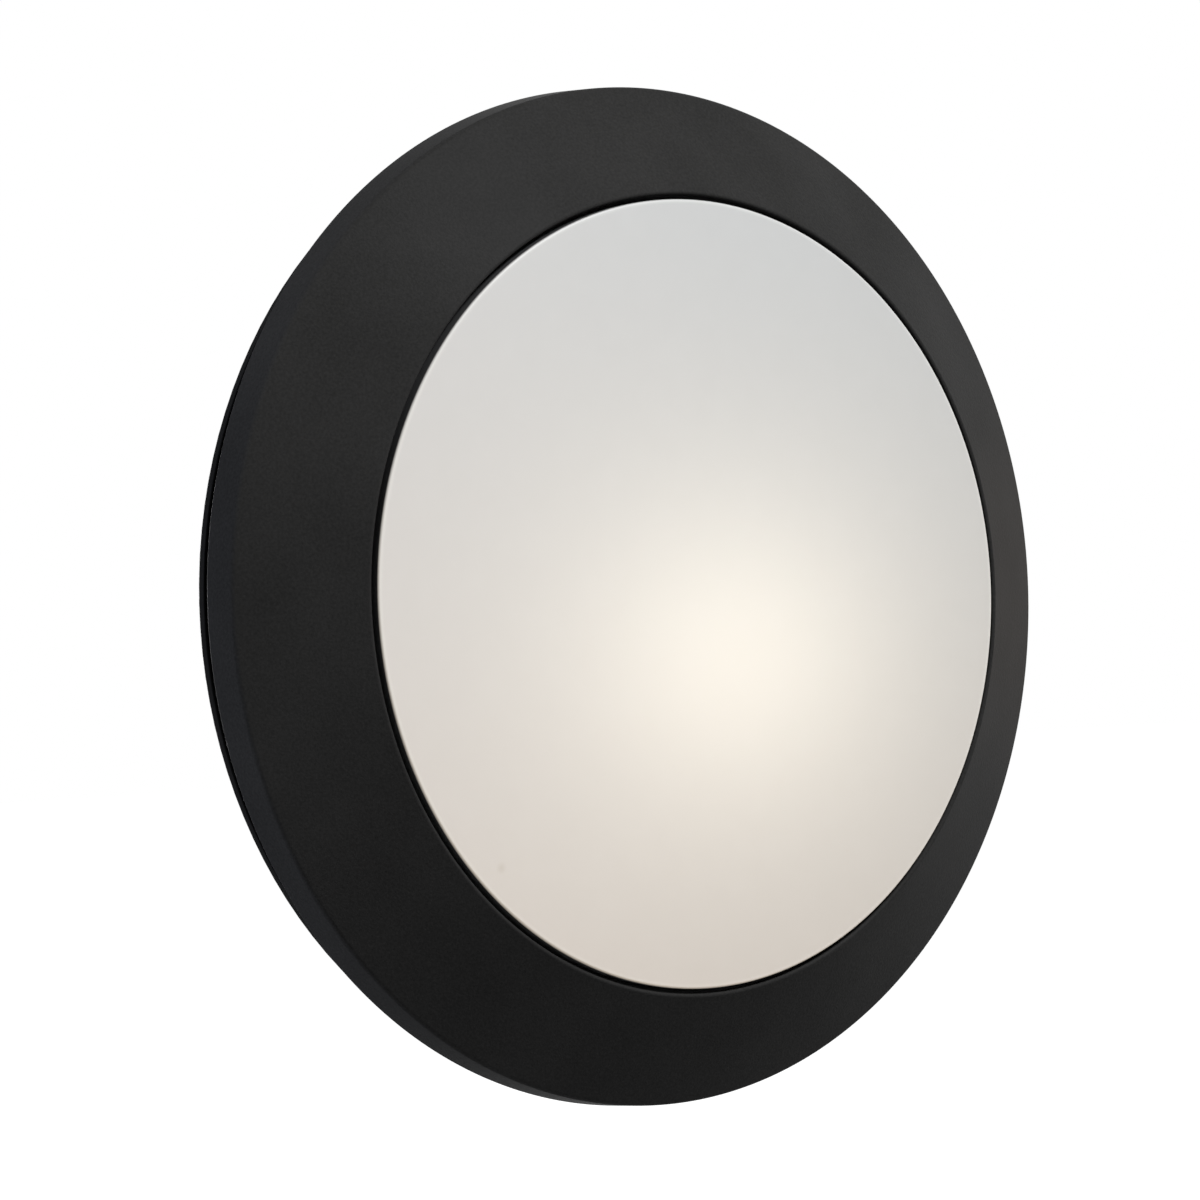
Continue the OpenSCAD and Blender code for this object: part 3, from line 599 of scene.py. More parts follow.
# Nipple and lock nut: a hollow steel stud with a fine rolled thread, screwed into the lampholder's dome and
# clamped to the bracket by a thin hexagon nut. The two wires pass through it.
contact_u = -51.0
lamp_z = 50.0
lamp_axis = lamp_frame @ Matrix.Translation((contact_u, 0, lamp_z)) @ Matrix.Rotation(TURN / 4, 4, "Y")
nipple_back, nipple_front = -34.0, -13.8
nipple_r, nipple_bore_r = 5.0, 3.5
nipple_pitch, nipple_depth, bore_margin = 1.0, 0.55, 0.5
nipple = turned(
    "threaded_nipple",
    [
        (nipple_bore_r, nipple_back, 0),
        (nipple_r - nipple_depth / 2, nipple_back, 0.25),
        (nipple_r - nipple_depth / 2, nipple_front, 0.25),
        (nipple_bore_r, nipple_front, 0),
    ],
    zinc,
    row=nipple_pitch / fine_rows,
    steps=48,
)
nipple = threaded(
    nipple,
    zinc,
    nipple_pitch,
    nipple_depth,
    low=nipple_back,
    high=nipple_front,
    outside=nipple_bore_r + bore_margin,
    place=lamp_axis,
)
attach(nipple, "base")
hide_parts("holder_nipple")
dress(zinc, "holder_lock_nut")

# Lampholder: a dome and a skirt of pressed white thermoset that screw together round an insulator of
# steatite, with a rolled brass sleeve for the lamp's cap and a folded brass leaf under its contact.
# Pressed thermoset: a warm white with a clean gloss and faint flow marks.
thermoset, tree, place = new_finish("pressed_white_thermoset")
flow_mark_mm = 8
marks = add(
    tree,
    "ShaderNodeTexNoise",
    {"Vector": place, "Scale": 1 / (flow_mark_mm * MM), "Distortion": 0.8},
)
tint = add(
    tree,
    "ShaderNodeMix",
    {0: marks.outputs["Fac"], 6: linear("#e2e0d8"), 7: linear("#eeece5")},
    data_type="RGBA",
)
dullness = add(tree, "ShaderNodeMapRange", {"Value": marks.outputs["Fac"], "To Min": 0.2, "To Max": 0.32})
shader = add(
    tree,
    "ShaderNodeBsdfPrincipled",
    {"Base Color": tint.outputs[2], "Roughness": dullness.outputs[0]},
)
add(tree, "ShaderNodeOutputMaterial", {"Surface": shader.outputs["BSDF"]})
dress(thermoset, "holder_dome", "holder_skirt")

# Steatite: an unglazed cream ceramic, chalky, with a sandy grain.
steatite, tree, place = new_finish("unglazed_steatite")
sand_mm = 0.4
sand = add(tree, "ShaderNodeTexNoise", {"Vector": place, "Scale": 1 / (sand_mm * MM), "Detail": 4.0})
tint = add(
    tree,
    "ShaderNodeMix",
    {0: sand.outputs["Fac"], 6: linear("#d6cebd"), 7: linear("#e8e2d5")},
    data_type="RGBA",
)
relief = add(tree, "ShaderNodeBump", {"Height": sand.outputs["Fac"], "Strength": 0.3, "Distance": 0.05 * MM})
shader = add(
    tree,
    "ShaderNodeBsdfPrincipled",
    {"Base Color": tint.outputs[2], "Roughness": 0.8, "Normal": relief.outputs[0]},
)
add(tree, "ShaderNodeOutputMaterial", {"Surface": shader.outputs["BSDF"]})
dress(steatite, "holder_insulator")

# Plain brass: a warm yellow metal with a thin brown tarnish in patches, which is also duller.
brass, tree, place = new_finish("plain_brass")
tarnish_mm = 4
tarnish = add(tree, "ShaderNodeTexNoise", {"Vector": place, "Scale": 1 / (tarnish_mm * MM), "Detail": 5.0})
tint = add(
    tree,
    "ShaderNodeMix",
    {0: tarnish.outputs["Fac"], 6: linear("#a9853c"), 7: linear("#d9b766")},
    data_type="RGBA",
)
dullness = add(tree, "ShaderNodeMapRange", {"Value": tarnish.outputs["Fac"], "To Min": 0.42, "To Max": 0.22})
shader = add(
    tree,
    "ShaderNodeBsdfPrincipled",
    {"Base Color": tint.outputs[2], "Metallic": 1.0, "Roughness": dullness.outputs[0]},
)
add(tree, "ShaderNodeOutputMaterial", {"Surface": shader.outputs["BSDF"]})
dress(brass, "holder_contact")

cap_pitch, cap_depth = 3.62, 0.6
sleeve_r, sleeve_t, sleeve_foot_r = 13.5, 0.6, 16.8
sleeve_back, sleeve_l, sleeve_plain = -3.0, 23.0, 2.0
sleeve = turned(
    "rolled_sleeve",
    [
        (sleeve_r, sleeve_back, 0),
        (sleeve_foot_r, sleeve_back, 0),
        (sleeve_foot_r, sleeve_back + sleeve_t, 0),
        (sleeve_r + sleeve_t, sleeve_back + sleeve_t, 0.5),
        (sleeve_r + sleeve_t, sleeve_back + sleeve_l, 0.2),
        (sleeve_r, sleeve_back + sleeve_l, 0.2),
    ],
    brass,
    row=cap_pitch / cap_rows,
)
sleeve = threaded(
    sleeve,
    brass,
    cap_pitch,
    cap_depth,
    low=sleeve_back + sleeve_plain,
    high=sleeve_back + sleeve_l,
    place=lamp_axis,
)
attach(sleeve, "base")
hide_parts("holder_sleeve")

# Lamp: a sealed globe lamp. A frosted glass bulb is cemented into a nickel-plated screw cap, whose end is
# closed by black glass with the solder contact in its middle. It screws into the sleeve.
# Frosted glass: a milky white skin, lit warm from within, with a powdery inside coat.
frosted, tree, place = new_finish("frosted_glass")
powder_mm = 0.9
powder = add(tree, "ShaderNodeTexNoise", {"Vector": place, "Scale": 1 / (powder_mm * MM), "Detail": 3.0})
tint = add(
    tree,
    "ShaderNodeMix",
    {0: powder.outputs["Fac"], 6: linear("#efe9dc"), 7: linear("#f8f4ea")},
    data_type="RGBA",
)
shader = add(
    tree,
    "ShaderNodeBsdfPrincipled",
    {
        "Base Color": tint.outputs[2],
        "Roughness": 0.35,
        "Emission Color": linear("#fff0d8"),
        "Emission Strength": 0.5,
    },
)
add(tree, "ShaderNodeOutputMaterial", {"Surface": shader.outputs["BSDF"]})

# Nickel plate: a bright metal with a slight yellow cast and fine drawing lines.
nickel, tree, place = new_finish("nickel_plated_brass")
drawing_mm = 0.5
lines = add(tree, "ShaderNodeTexNoise", {"Vector": place, "Scale": 1 / (drawing_mm * MM), "Detail": 2.0})
dullness = add(tree, "ShaderNodeMapRange", {"Value": lines.outputs["Fac"], "To Min": 0.16, "To Max": 0.3})
tint = add(
    tree,
    "ShaderNodeMix",
    {0: lines.outputs["Fac"], 6: linear("#bdb9af"), 7: linear("#d2cfc7")},
    data_type="RGBA",
)
shader = add(
    tree,
    "ShaderNodeBsdfPrincipled",
    {"Base Color": tint.outputs[2], "Metallic": 1.0, "Roughness": dullness.outputs[0]},
)
add(tree, "ShaderNodeOutputMaterial", {"Surface": shader.outputs["BSDF"]})

# Black glass: poured into the cap's end, glossy, with small seeds near its skin.
black_glass, tree, place = new_finish("poured_black_glass")
seed_mm = 0.8
seeds = add(tree, "ShaderNodeTexVoronoi", {"Vector": place, "Scale": 1 / (seed_mm * MM)})
tint = add(
    tree,
    "ShaderNodeMix",
    {0: seeds.outputs["Distance"], 6: linear("#1d1a22"), 7: linear("#0c0b0f")},
    data_type="RGBA",
)
shader = add(tree, "ShaderNodeBsdfPrincipled", {"Base Color": tint.outputs[2], "Roughness": 0.12})
add(tree, "ShaderNodeOutputMaterial", {"Surface": shader.outputs["BSDF"]})

cap_r, cap_l = 13.2, 27.0
contact_r, contact_l = 4.8, 2.0
shell_low, shell_taper, shell_skin = 8.0, 2.0, 1.0
collar_l, collar_slope = 3.0, 0.5
plug_step, plug_gap = 0.4, 0.1
globe_r, globe_s = 30.0, 78.0
glass_r, glass_sunk, glass_taper = cap_r + 1.8, 1.0, 0.8
neck_round, neck_stretch = 22.0, 3.0
globe_join, globe_steps = math.radians(120), 24
globe_angles = [globe_join * k / globe_steps for k in range(globe_steps, 0, -1)]
join_r, join_s = globe_r * math.sin(globe_join), globe_s + globe_r * math.cos(globe_join)
neck_s = join_s - (join_r - glass_r) * math.tan(globe_join - TURN / 4) * neck_stretch
globe = turned(
    "globe_lamp",
    [
        (0, cap_l - glass_sunk, 0),
        (glass_r - glass_taper, cap_l - glass_sunk, 0),
        (glass_r, cap_l, 0.3),
        (glass_r, neck_s, neck_round),
    ]
    + [(globe_r * math.sin(a), globe_s + globe_r * math.cos(a), 0) for a in globe_angles]
    + [(0, globe_s + globe_r, 0)],
    frosted,
    lamp_axis,
)
cap = turned(
    "lamp_cap",
    [
        (0, shell_low - shell_taper, 0),
        (cap_r - shell_taper, shell_low - shell_taper, 0),
        (cap_r - cap_depth / 2, shell_low, 0.6),
        (cap_r - cap_depth / 2, cap_l - collar_l, 0),
        (cap_r, cap_l - collar_l + collar_slope, 0.3),
        (cap_r, cap_l, 0.2),
        (0, cap_l, 0),
    ],
    nickel,
    row=cap_pitch / cap_rows,
)
cap = threaded(
    cap,
    nickel,
    cap_pitch,
    cap_depth,
    low=shell_low,
    high=cap_l - collar_l,
    outside=cap_r - shell_skin,
    place=lamp_axis,
)
plug = turned(
    "cap_plug",
    [
        (0, contact_l - plug_step, 0),
        (contact_r + plug_step, contact_l - plug_step, 0.3),
        (cap_r - shell_taper - plug_gap, shell_low - shell_taper, 0),
        (0, shell_low - shell_taper, 0),
    ],
    black_glass,
    lamp_axis,
    steps=64,
)
button = turned(
    "cap_contact",
    [(0, 0, 0), (contact_r, 0, 0.8), (contact_r, contact_l, 0), (0, contact_l, 0)],
    zinc,
    lamp_axis,
    steps=48,
)


def joined(first, *others):
    """Several meshes as one piece, each with its own finish."""
    pieces = [first, *others]
    with bpy.context.temp_override(active_object=first, selected_editable_objects=pieces):
        bpy.ops.object.join()
    return first


lamp = joined(globe, cap, plug, button)
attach(lamp, "base")
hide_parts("lamp")

# Terminal block: two moulded barrels of natural polyamide with brass clamp tubes and slotted steel screws,
# held on the tray by one small pan-head screw between the poles.
# Natural polyamide: a milky, waxy cream plastic.
polyamide, tree, place = new_finish("natural_polyamide")
wax_mm = 3
wax = add(tree, "ShaderNodeTexNoise", {"Vector": place, "Scale": 1 / (wax_mm * MM), "Detail": 2.0})
tint = add(
    tree,
    "ShaderNodeMix",
    {0: wax.outputs["Fac"], 6: linear("#dad5c6"), 7: linear("#e7e3d8")},
    data_type="RGBA",
)
shader = add(
    tree,
    "ShaderNodeBsdfPrincipled",
    {
        "Base Color": tint.outputs[2],
        "Roughness": 0.45,
        "Subsurface Weight": 0.2,
        "Subsurface Radius": (0.6, 0.5, 0.4),
        "Subsurface Scale": 1.5 * MM,
    },
)
add(tree, "ShaderNodeOutputMaterial", {"Surface": shader.outputs["BSDF"]})
dress(polyamide, "terminal_block")
dress(brass, "terminal_clamps")
dress(zinc, "terminal_screws")

block_u, block_v, block_web_h = -22.0, -58.0, 6.0
block_screw = set_fasteners(
    "block_pan_screw",
    pan_head_screw(zinc, head_d=4.2, head_h=1.8, shank_d=2.2, length=11.0, pitch=0.9),
    [(block_u, block_v, tray_top + block_web_h)],
    zinc,
    seed=7,
)
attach(block_screw, "base")
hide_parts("block_screw")

# Inner wires: two single copper wires in heat-proof insulation, brown and blue. Each leaves the terminal
# block, turns back in a loop and runs through the nipple to the lampholder's insulator.
sheathing, given = new_tree("sheathed_wire", Radius="Float", Sides="Int")
route = add(sheathing, "GeometryNodeMeshToCurve", {"Mesh": given["Geometry"]})
outline = add(
    sheathing,
    "GeometryNodeCurvePrimitiveCircle",
    {"Resolution": given["Sides"], "Radius": given["Radius"]},
)
sheath = add(
    sheathing,
    "GeometryNodeCurveToMesh",
    {"Curve": route.outputs[0], "Profile Curve": outline.outputs[0], "Fill Caps": True},
)
end_tree(sheathing, given, sheath.outputs[0])

wire_r, wire_sides, wire_rings = 1.2, 20, 48
wire_apart = 1.1 * wire_r
pole_pitch, pole_l, pole_bore_z = 11.0, 18.0, 6.1
touch = 0.2
loop_out, loop_in, loop_spread = 50.0, 28.0, 8.0
insulator_back = 9.0
wire_end = contact_u - insulator_back - touch
for name, slot, side, dark, light in (
    ("live_wire", "wire_brown", 1, "#5a3218", "#6f4023"),
    ("neutral_wire", "wire_blue", -1, "#2a4f9e", "#3a62b4"),
):
    # Extruded insulation: smooth and half glossy, with faint streaks of pigment.
    insulation, tree, place = new_finish("extruded_insulation_" + slot)
    streak_mm = 1.2
    streak = add(tree, "ShaderNodeTexNoise", {"Vector": place, "Scale": 1 / (streak_mm * MM), "Detail": 2.0})
    tint = add(
        tree,
        "ShaderNodeMix",
        {0: streak.outputs["Fac"], 6: linear(dark), 7: linear(light)},
        data_type="RGBA",
    )
    shader = add(tree, "ShaderNodeBsdfPrincipled", {"Base Color": tint.outputs[2], "Roughness": 0.38})
    add(tree, "ShaderNodeOutputMaterial", {"Surface": shader.outputs["BSDF"]})
    first = Vector((block_u - pole_l / 2 - touch, block_v + side * pole_pitch / 2, tray_top + pole_bore_z))
    last = Vector((contact_u + nipple_back, -side * wire_apart, lamp_z))
    second = first - Vector((loop_out - side * loop_spread, 0, 0))
    third = last - Vector((loop_in - side * loop_spread / 2, 0, 0))
    points = []
    for k in range(wire_rings + 1):
        t = k / wire_rings
        s = 1 - t
        points.append(s**3 * first + 3 * s * s * t * second + 3 * s * t * t * third + t**3 * last)
    points.append(Vector((wire_end, last.y, lamp_z)))
    line = bpy.data.meshes.new(name)
    line.from_pydata(points, [(k, k + 1) for k in range(len(points) - 1)], [])
    wire = run_tree(
        sheathing,
        "sheathed_" + name,
        line,
        lamp_frame,
        Radius=wire_r,
        Sides=wire_sides,
        Finish=insulation,
    )
    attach(wire, "base")
    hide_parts(name)

# Bezel: the sloping black resin ring that carries the diffuser. Bayonet lugs inside its straight side turn
# under the base's lugs, a rib presses on the seal, and eight snap hooks hold the diffuser's flange.
# Charcoal resin: a soft black with a faint sheen where the light strikes it, and almost none on its side.
charcoal = ("#212120", "#434241")
resin = moulded_resin("moulded_charcoal_resin", *charcoal, gloss=0.008)
side_resin = moulded_resin("moulded_charcoal_resin_side", *charcoal, gloss=0.002)
bezel_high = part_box("bezel")[1]
bezel_back = -bezel_high.y / MM
bezel_r, bezel_h, bezel_wall = 150.0, 32.6, 3.0
side_h, side_draft = 12.0, 0.5
window_r = 116.1
bezel_lip = bezel_back + bezel_h
corner_r, corner_z = bezel_r - side_draft, bezel_back + side_h
side_r = bezel_r - bezel_wall
slope = math.atan2(bezel_lip - corner_z, corner_r - window_r)


def under(r):
    """Height of the bezel's underside at a radius, in mm from the wall."""
    return corner_z + (corner_r - r) * math.tan(slope) - bezel_wall / math.cos(slope)


lug_t, lug_reach, lug_gap, slide_gap = 2.6, 4.5, 0.8, 0.4
rim_top = under(side_r) - lug_gap
lug_z = rim_top - lug_t - slide_gap - lug_t
lug_r = side_r - lug_reach
rib_inset, rib_half, seal_h = 3.0, 1.0, 1.5
foot_round, corner_round, lip_round, inner_round = 0.6, 2.0, 0.8, 0.4
rib_r = lug_r - lug_gap - rib_inset
rib_low = rim_top + seal_h + touch
ring = turned(
    "bezel_ring",
    [
        (bezel_r, bezel_back, foot_round),
        (corner_r, corner_z, corner_round),
        (window_r, bezel_lip, lip_round),
        (window_r, under(window_r), inner_round),
        (rib_r - rib_half, under(rib_r - rib_half), 0),
        (rib_r - rib_half, rib_low, inner_round),
        (rib_r + rib_half, rib_low, inner_round),
        (rib_r + rib_half, under(rib_r + rib_half), 0),
        (side_r, under(side_r), 0),
        (side_r, bezel_back, foot_round),
    ],
    resin,
    stand,
    steps=320,
)
sunk = 0.5
lug_arc, lug_count = math.radians(24), 4
lugs = turned(
    "bezel_lugs",
    [
        (lug_r, lug_z, 0.6),
        (side_r + sunk, lug_z, 0),
        (side_r + sunk, lug_z + lug_t, 0),
        (lug_r, lug_z + lug_t, 0.6),
    ],
    resin,
    stand,
    steps=24,
    count=lug_count,
    start=-lug_arc / 2,
    sweep=lug_arc,
)
groove, ring_d, ring_gap = 1.3, 3.0, 0.1
flange_reach, flange_t = 6.5, 2.5
diffuser_r = window_r - groove
seal_r = diffuser_r + ring_gap + ring_d / 2
seal_z = under(seal_r) - (ring_d / 2 + ring_gap) / math.cos(slope)
flange_r, flange_top = diffuser_r + flange_reach, seal_z - ring_d / 2 - ring_gap
flange_low = flange_top - flange_t
hook_r, hook_t = flange_r + slide_gap, 2.4
nib_z, nib_h, nib_reach = flange_low - touch, 2.4, 1.8
hook_arc, hook_count = math.radians(10), 8
hooks = turned(
    "bezel_hooks",
    [
        (hook_r, under(hook_r) + sunk, 0),
        (hook_r, nib_z, 0),
        (flange_r - nib_reach, nib_z, 0.4),
        (hook_r + hook_t / 2, nib_z - nib_h, 0),
        (hook_r + hook_t, nib_z - nib_h, 0),
        (hook_r + hook_t, under(hook_r + hook_t) + sunk, 0),
    ],
    resin,
    stand,
    steps=12,
    count=hook_count,
    start=math.pi / hook_count - hook_arc / 2,
    sweep=hook_arc,
)
bezel = joined(ring, lugs, hooks)
bezel.data.materials.append(side_resin)
corner_margin = 0.3
for face in bezel.data.polygons:
    if math.hypot(face.center.x, face.center.z) > (corner_r - corner_margin) * MM:
        face.material_index = 1
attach(bezel, "cover")
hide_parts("bezel")

# Diffuser: a shallow hat of opal acrylic, moulded in one piece. A dark groove parts its rounded edge from
# the bezel's lip, and its flange is held behind the bezel against a round seal ring of the same black rubber
# as the other seals.
dress(rubber, "diffuser_seal")
diffuser_front = -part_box("diffuser")[0].y / MM
diffuser_crown, diffuser_wall, diffuser_edge = 2.0, 3.0, 0.8
edge_z = diffuser_front - diffuser_crown
crown_steps = 24


def crown(r):
    """Height of the diffuser's crowned face at a radius, in mm from the wall."""
    return edge_z + diffuser_crown * (1 - (r / diffuser_r) ** 2)


outside = [(diffuser_r - diffuser_edge) * k / crown_steps for k in range(crown_steps)]
inside = [(diffuser_r - diffuser_wall) * k / crown_steps for k in range(crown_steps, -1, -1)]

# Opal acrylic: a milky satin white with a painted glow that stands for the lamp's light through it. It glows
# warm where the lamp stands behind it, in a wide oval that falls off all round, warm towards the bottom and a
# little brighter on the lampholder's side, and a painted glow at its edge stands for light led in the sheet
# that leaves there. The skirt behind that is painted grey as shade, so that the groove stays dark, and a
# small dull speck lies near the lower left edge.
opal, tree, place = new_finish("moulded_opal_acrylic")
glow_x, glow_z = 12.3 * MM, -17.5 * MM
glow_reach, glow_squeeze = 94.1 * MM, 1.27
speck_x, speck_z = -76.7 * MM, -74.8 * MM
speck_r = 2.2 * MM
milk_mm = 12
edge_start, edge_full, edge_depth = 1.5, 0.5, 0.7
# The painted glow falls off with the fourth power of the cosine, as light from a lamp behind a sheet does.
from_lamp = add(tree, "ShaderNodeVectorMath", {0: place, 1: (glow_x, 0, glow_z)}, operation="SUBTRACT")
in_plane = add(
    tree,
    "ShaderNodeVectorMath",
    {0: from_lamp.outputs[0], 1: (1, 0, glow_squeeze)},
    operation="MULTIPLY",
)
apart = add(tree, "ShaderNodeVectorMath", {0: in_plane.outputs[0]}, operation="LENGTH")
ratio = add(tree, "ShaderNodeMath", {0: apart.outputs["Value"], 1: glow_reach}, operation="DIVIDE")
squared = add(tree, "ShaderNodeMath", {0: ratio.outputs[0], 1: 2.0}, operation="POWER")
more = add(tree, "ShaderNodeMath", {0: squared.outputs[0], 1: 1.0}, operation="ADD")
glow = add(tree, "ShaderNodeMath", {0: more.outputs[0], 1: -2.0}, operation="POWER")
spot = add(tree, "ShaderNodeSeparateXYZ", {0: place})
# Painted glow over the whole face, warm at the bottom and cooler and greyer at the top.
rise = add(
    tree,
    "ShaderNodeMapRange",
    {"Value": spot.outputs["Z"], "From Min": -diffuser_r * MM, "From Max": diffuser_r * MM},
)
chamber_glow = add(
    tree,
    "ShaderNodeMix",
    {0: rise.outputs[0], 6: linear("#634e28"), 7: linear("#434844")},
    data_type="RGBA",
)
# Painted glow added towards the left, a little brighter on the lampholder's side.
leftward = add(
    tree,
    "ShaderNodeMapRange",
    {"Value": spot.outputs["X"], "From Min": diffuser_r * MM, "From Max": -diffuser_r * MM},
)
sided_glow = add(
    tree,
    "ShaderNodeMix",
    {0: leftward.outputs[0], 6: chamber_glow.outputs[2], 7: linear("#5f5853")},
    data_type="RGBA",
    blend_type="ADD",
)
# Painted glow of the wide oval round the lamp, added to the rest.
lit = add(
    tree,
    "ShaderNodeMix",
    {0: glow.outputs[0], 6: sided_glow.outputs[2], 7: linear("#a7a091")},
    data_type="RGBA",
    blend_type="ADD",
)
flat_place = add(tree, "ShaderNodeVectorMath", {0: place, 1: (1, 0, 1)}, operation="MULTIPLY")
from_axis = add(tree, "ShaderNodeVectorMath", {0: flat_place.outputs[0]}, operation="LENGTH")
edge = add(
    tree,
    "ShaderNodeMapRange",
    {
        "Value": from_axis.outputs["Value"],
        "From Min": (diffuser_r - edge_start) * MM,
        "From Max": (diffuser_r - edge_full) * MM,
    },
)
# Painted glow at the edge, where light led in the sheet leaves.
edge_lit = add(
    tree,
    "ShaderNodeMix",
    {0: edge.outputs[0], 6: lit.outputs[2], 7: linear("#4c4c48")},
    data_type="RGBA",
    blend_type="ADD",
)
# The painted glow fades out below the front face.
front = add(
    tree,
    "ShaderNodeMapRange",
    {"Value": spot.outputs["Y"], "From Min": (edge_depth - edge_z) * MM, "From Max": -edge_z * MM},
)
milk = add(tree, "ShaderNodeTexNoise", {"Vector": place, "Scale": 1 / (milk_mm * MM), "Detail": 3.0})
white = add(
    tree,
    "ShaderNodeMix",
    {0: milk.outputs["Fac"], 6: linear("#cacaca"), 7: linear("#cecece")},
    data_type="RGBA",
)
from_speck = add(tree, "ShaderNodeVectorMath", {0: place, 1: (speck_x, 0, speck_z)}, operation="SUBTRACT")
speck_plane = add(
    tree,
    "ShaderNodeVectorMath",
    {0: from_speck.outputs[0], 1: (1, 0, 1)},
    operation="MULTIPLY",
)
speck_off = add(tree, "ShaderNodeVectorMath", {0: speck_plane.outputs[0]}, operation="LENGTH")
speck = add(
    tree,
    "ShaderNodeMapRange",
    {
        "Value": speck_off.outputs["Value"],
        "From Min": 0.0,
        "From Max": speck_r,
        "To Min": 0.5,
        "To Max": 0.0,
    },
    interpolation_type="SMOOTHSTEP",
)
marked = add(
    tree,
    "ShaderNodeMix",
    {0: speck.outputs[0], 6: white.outputs[2], 7: linear("#b4b2ae")},
    data_type="RGBA",
)
# Painted shade: below the front face the skirt's colour turns grey, so that the groove beside the bezel's lip
# stays dark.
behind = add(tree, "ShaderNodeMath", {0: 1.0, 1: front.outputs[0]}, operation="SUBTRACT")
skirt = add(tree, "ShaderNodeMath", {0: edge.outputs[0], 1: behind.outputs[0]}, operation="MULTIPLY")
groove_shaded = add(
    tree,
    "ShaderNodeMix",
    {0: skirt.outputs[0], 6: marked.outputs[2], 7: linear("#444444")},
    data_type="RGBA",
)
shader = add(
    tree,
    "ShaderNodeBsdfPrincipled",
    {
        "Base Color": groove_shaded.outputs[2],
        "Roughness": 0.45,
        "IOR": 1.49,
        "Emission Color": edge_lit.outputs[2],
        "Emission Strength": front.outputs[0],
    },
)
add(tree, "ShaderNodeOutputMaterial", {"Surface": shader.outputs["BSDF"]})
diffuser = turned(
    "opal_diffuser",
    [(r, crown(r), 0) for r in outside]
    + [
        (diffuser_r, edge_z, diffuser_edge),
        (diffuser_r, flange_top, 0),
        (flange_r, flange_top, 0.5),
        (flange_r, flange_low, 0.5),
        (diffuser_r - diffuser_wall, flange_low, 0),
    ]
    + [(r, crown(r) - diffuser_wall, diffuser_edge if r == inside[0] else 0) for r in inside],
    opal,
    stand,
    steps=256,
)
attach(diffuser, "cover")
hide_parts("diffuser")

# Stage: a plain pale floor well below the light, and a white background behind it. Both show white to the
# camera, and in metal and glass, while the light that falls on the object is that of a plain studio.
floor_z = -0.36
floor_side = 16.0
ground = bmesh.new()
bmesh.ops.create_grid(ground, x_segments=1, y_segments=1, size=floor_side / 2)
bmesh.ops.translate(ground, vec=(0, 0, floor_z), verts=ground.verts)
floor_mesh = bpy.data.meshes.new("floor")
ground.to_mesh(floor_mesh)
ground.free()
floor = bpy.data.objects.new("floor", floor_mesh)
bpy.context.scene.collection.objects.link(floor)


def seen(tree):
    """1 for a ray that looks at the background, straight on or in metal or glass, and 0 for light."""
    path = add(tree, "ShaderNodeLightPath").outputs
    straight = add(
        tree,
        "ShaderNodeMath",
        {0: path["Is Camera Ray"], 1: path["Is Glossy Ray"]},
        operation="MAXIMUM",
    )
    either = add(
        tree,
        "ShaderNodeMath",
        {0: straight.outputs[0], 1: path["Is Transmission Ray"]},
        operation="MAXIMUM",
    )
    return either.outputs[0]


# Floor paper: a matte white that keeps a soft shadow under the light, and farther off shows as white as the
# background.
paper, tree, place = new_finish("white_floor_paper")
shadow_r, white_r, shadow_white = 0.4, 1.3, 0.7
matte = add(tree, "ShaderNodeBsdfDiffuse", {"Color": linear("#a0a0a0")})
off = add(tree, "ShaderNodeVectorMath", {0: place, 1: (1, 1, 0)}, operation="MULTIPLY")
far = add(tree, "ShaderNodeVectorMath", {0: off.outputs[0]}, operation="LENGTH")
white_out = add(
    tree,
    "ShaderNodeMapRange",
    {
        "Value": far.outputs["Value"],
        "From Min": shadow_r,
        "From Max": white_r,
        "To Min": shadow_white,
        "To Max": 1.0,
    },
)
shine = add(tree, "ShaderNodeMath", {0: seen(tree), 1: white_out.outputs[0]}, operation="MULTIPLY")
bright = add(tree, "ShaderNodeEmission", {"Color": linear("#ffffff"), "Strength": shine.outputs[0]})
both = add(tree, "ShaderNodeAddShader", {0: matte.outputs[0], 1: bright.outputs[0]})
add(tree, "ShaderNodeOutputMaterial", {"Surface": both.outputs[0]})
floor_mesh.materials.append(paper)

room_light, backdrop_light = 0.04, 1.0
sky = bpy.data.worlds.new("studio")
sky.use_nodes = True
tree = sky.node_tree
tree.nodes.clear()
room = add(tree, "ShaderNodeBackground", {"Color": linear("#ffffff"), "Strength": room_light})
backdrop = add(tree, "ShaderNodeBackground", {"Color": linear("#ffffff"), "Strength": backdrop_light})
choice = add(tree, "ShaderNodeMixShader", {0: seen(tree), 1: room.outputs[0], 2: backdrop.outputs[0]})
add(tree, "ShaderNodeOutputWorld", {"Surface": choice.outputs[0]})
bpy.context.scene.world = sky
bpy.context.scene.view_settings.view_transform = "Standard"

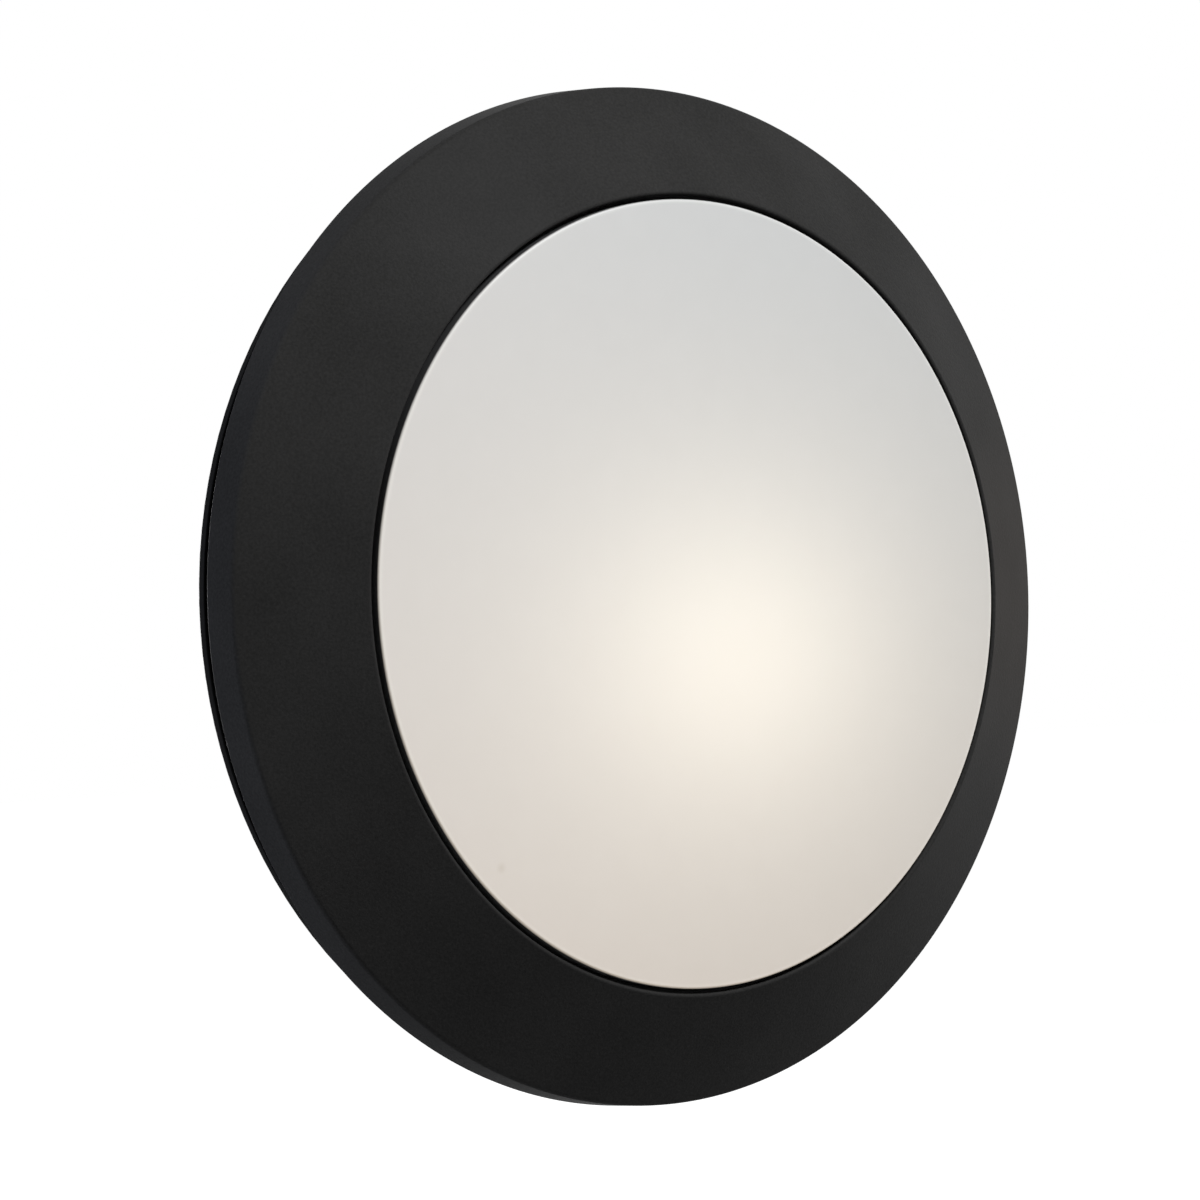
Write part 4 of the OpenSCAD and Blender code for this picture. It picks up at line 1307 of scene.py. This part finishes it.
# Four soft boxes: the main one high in front, a cool one of half its strength on the left and farther back,
# a faint warm one that grazes the right side, and one behind that shows the back.
middle = (cad_low + cad_high) / 2
box_side, box_distance = 0.6, 2.4
for name, towards, watts, colour in (
    ("key_soft_box", (0.17, -0.63, 0.76), 54.0, "#fafcff"),
    ("left_soft_box", (-0.85, 0.5, 0.12), 28.0, "#e4ecff"),
    ("right_soft_box", (0.98, 0.2, 0.0), 0.6, "#ffc080"),
    ("rear_soft_box", (0.15, 1.0, 0.0), 30.0, "#ffffff"),
):
    soft_box = bpy.data.lights.new(name, "AREA")
    soft_box.size = box_side
    soft_box.energy = watts
    soft_box.color = linear(colour)[:3]
    box = bpy.data.objects.new(name, soft_box)
    aim = Vector(towards).normalized()
    box.location = middle + aim * box_distance
    box.rotation_euler = aim.to_track_quat("Z", "Y").to_euler()
    box.visible_camera = False
    bpy.context.scene.collection.objects.link(box)

# Camera: the photograph's view, from the left at the light's own height and rolled a little, worked out from
# the outlines of the bezel and of the diffuser in a square picture of 1200 pixels.
view_azimuth = math.radians(38.151)
view_roll = math.radians(2.624)
view_distance = 1573.6 * MM
view_shift_right, view_shift_up = 8.5 * MM, 1.02 * MM
focal_pixels, picture_pixels = 5323.5, 1200.0
camera_data = bpy.data.cameras.new("camera")
camera_data.sensor_width = 36.0
camera_data.lens = focal_pixels / picture_pixels * camera_data.sensor_width
camera = bpy.data.objects.new("camera", camera_data)
bpy.context.scene.collection.objects.link(camera)
across = Vector((math.cos(view_azimuth), -math.sin(view_azimuth), 0))
back = Vector((-math.sin(view_azimuth), -math.cos(view_azimuth), 0))
up = Vector((0, 0, 1))
right = across * math.cos(view_roll) - up * math.sin(view_roll)
above = across * math.sin(view_roll) + up * math.cos(view_roll)
target = Vector((0, bezel_high.y, 0))
viewpoint = target + back * view_distance - right * view_shift_right - above * view_shift_up
turn = Matrix((right, above, back)).transposed().to_4x4()
camera.matrix_world = Matrix.Translation(viewpoint) @ turn
bpy.context.scene.camera = camera
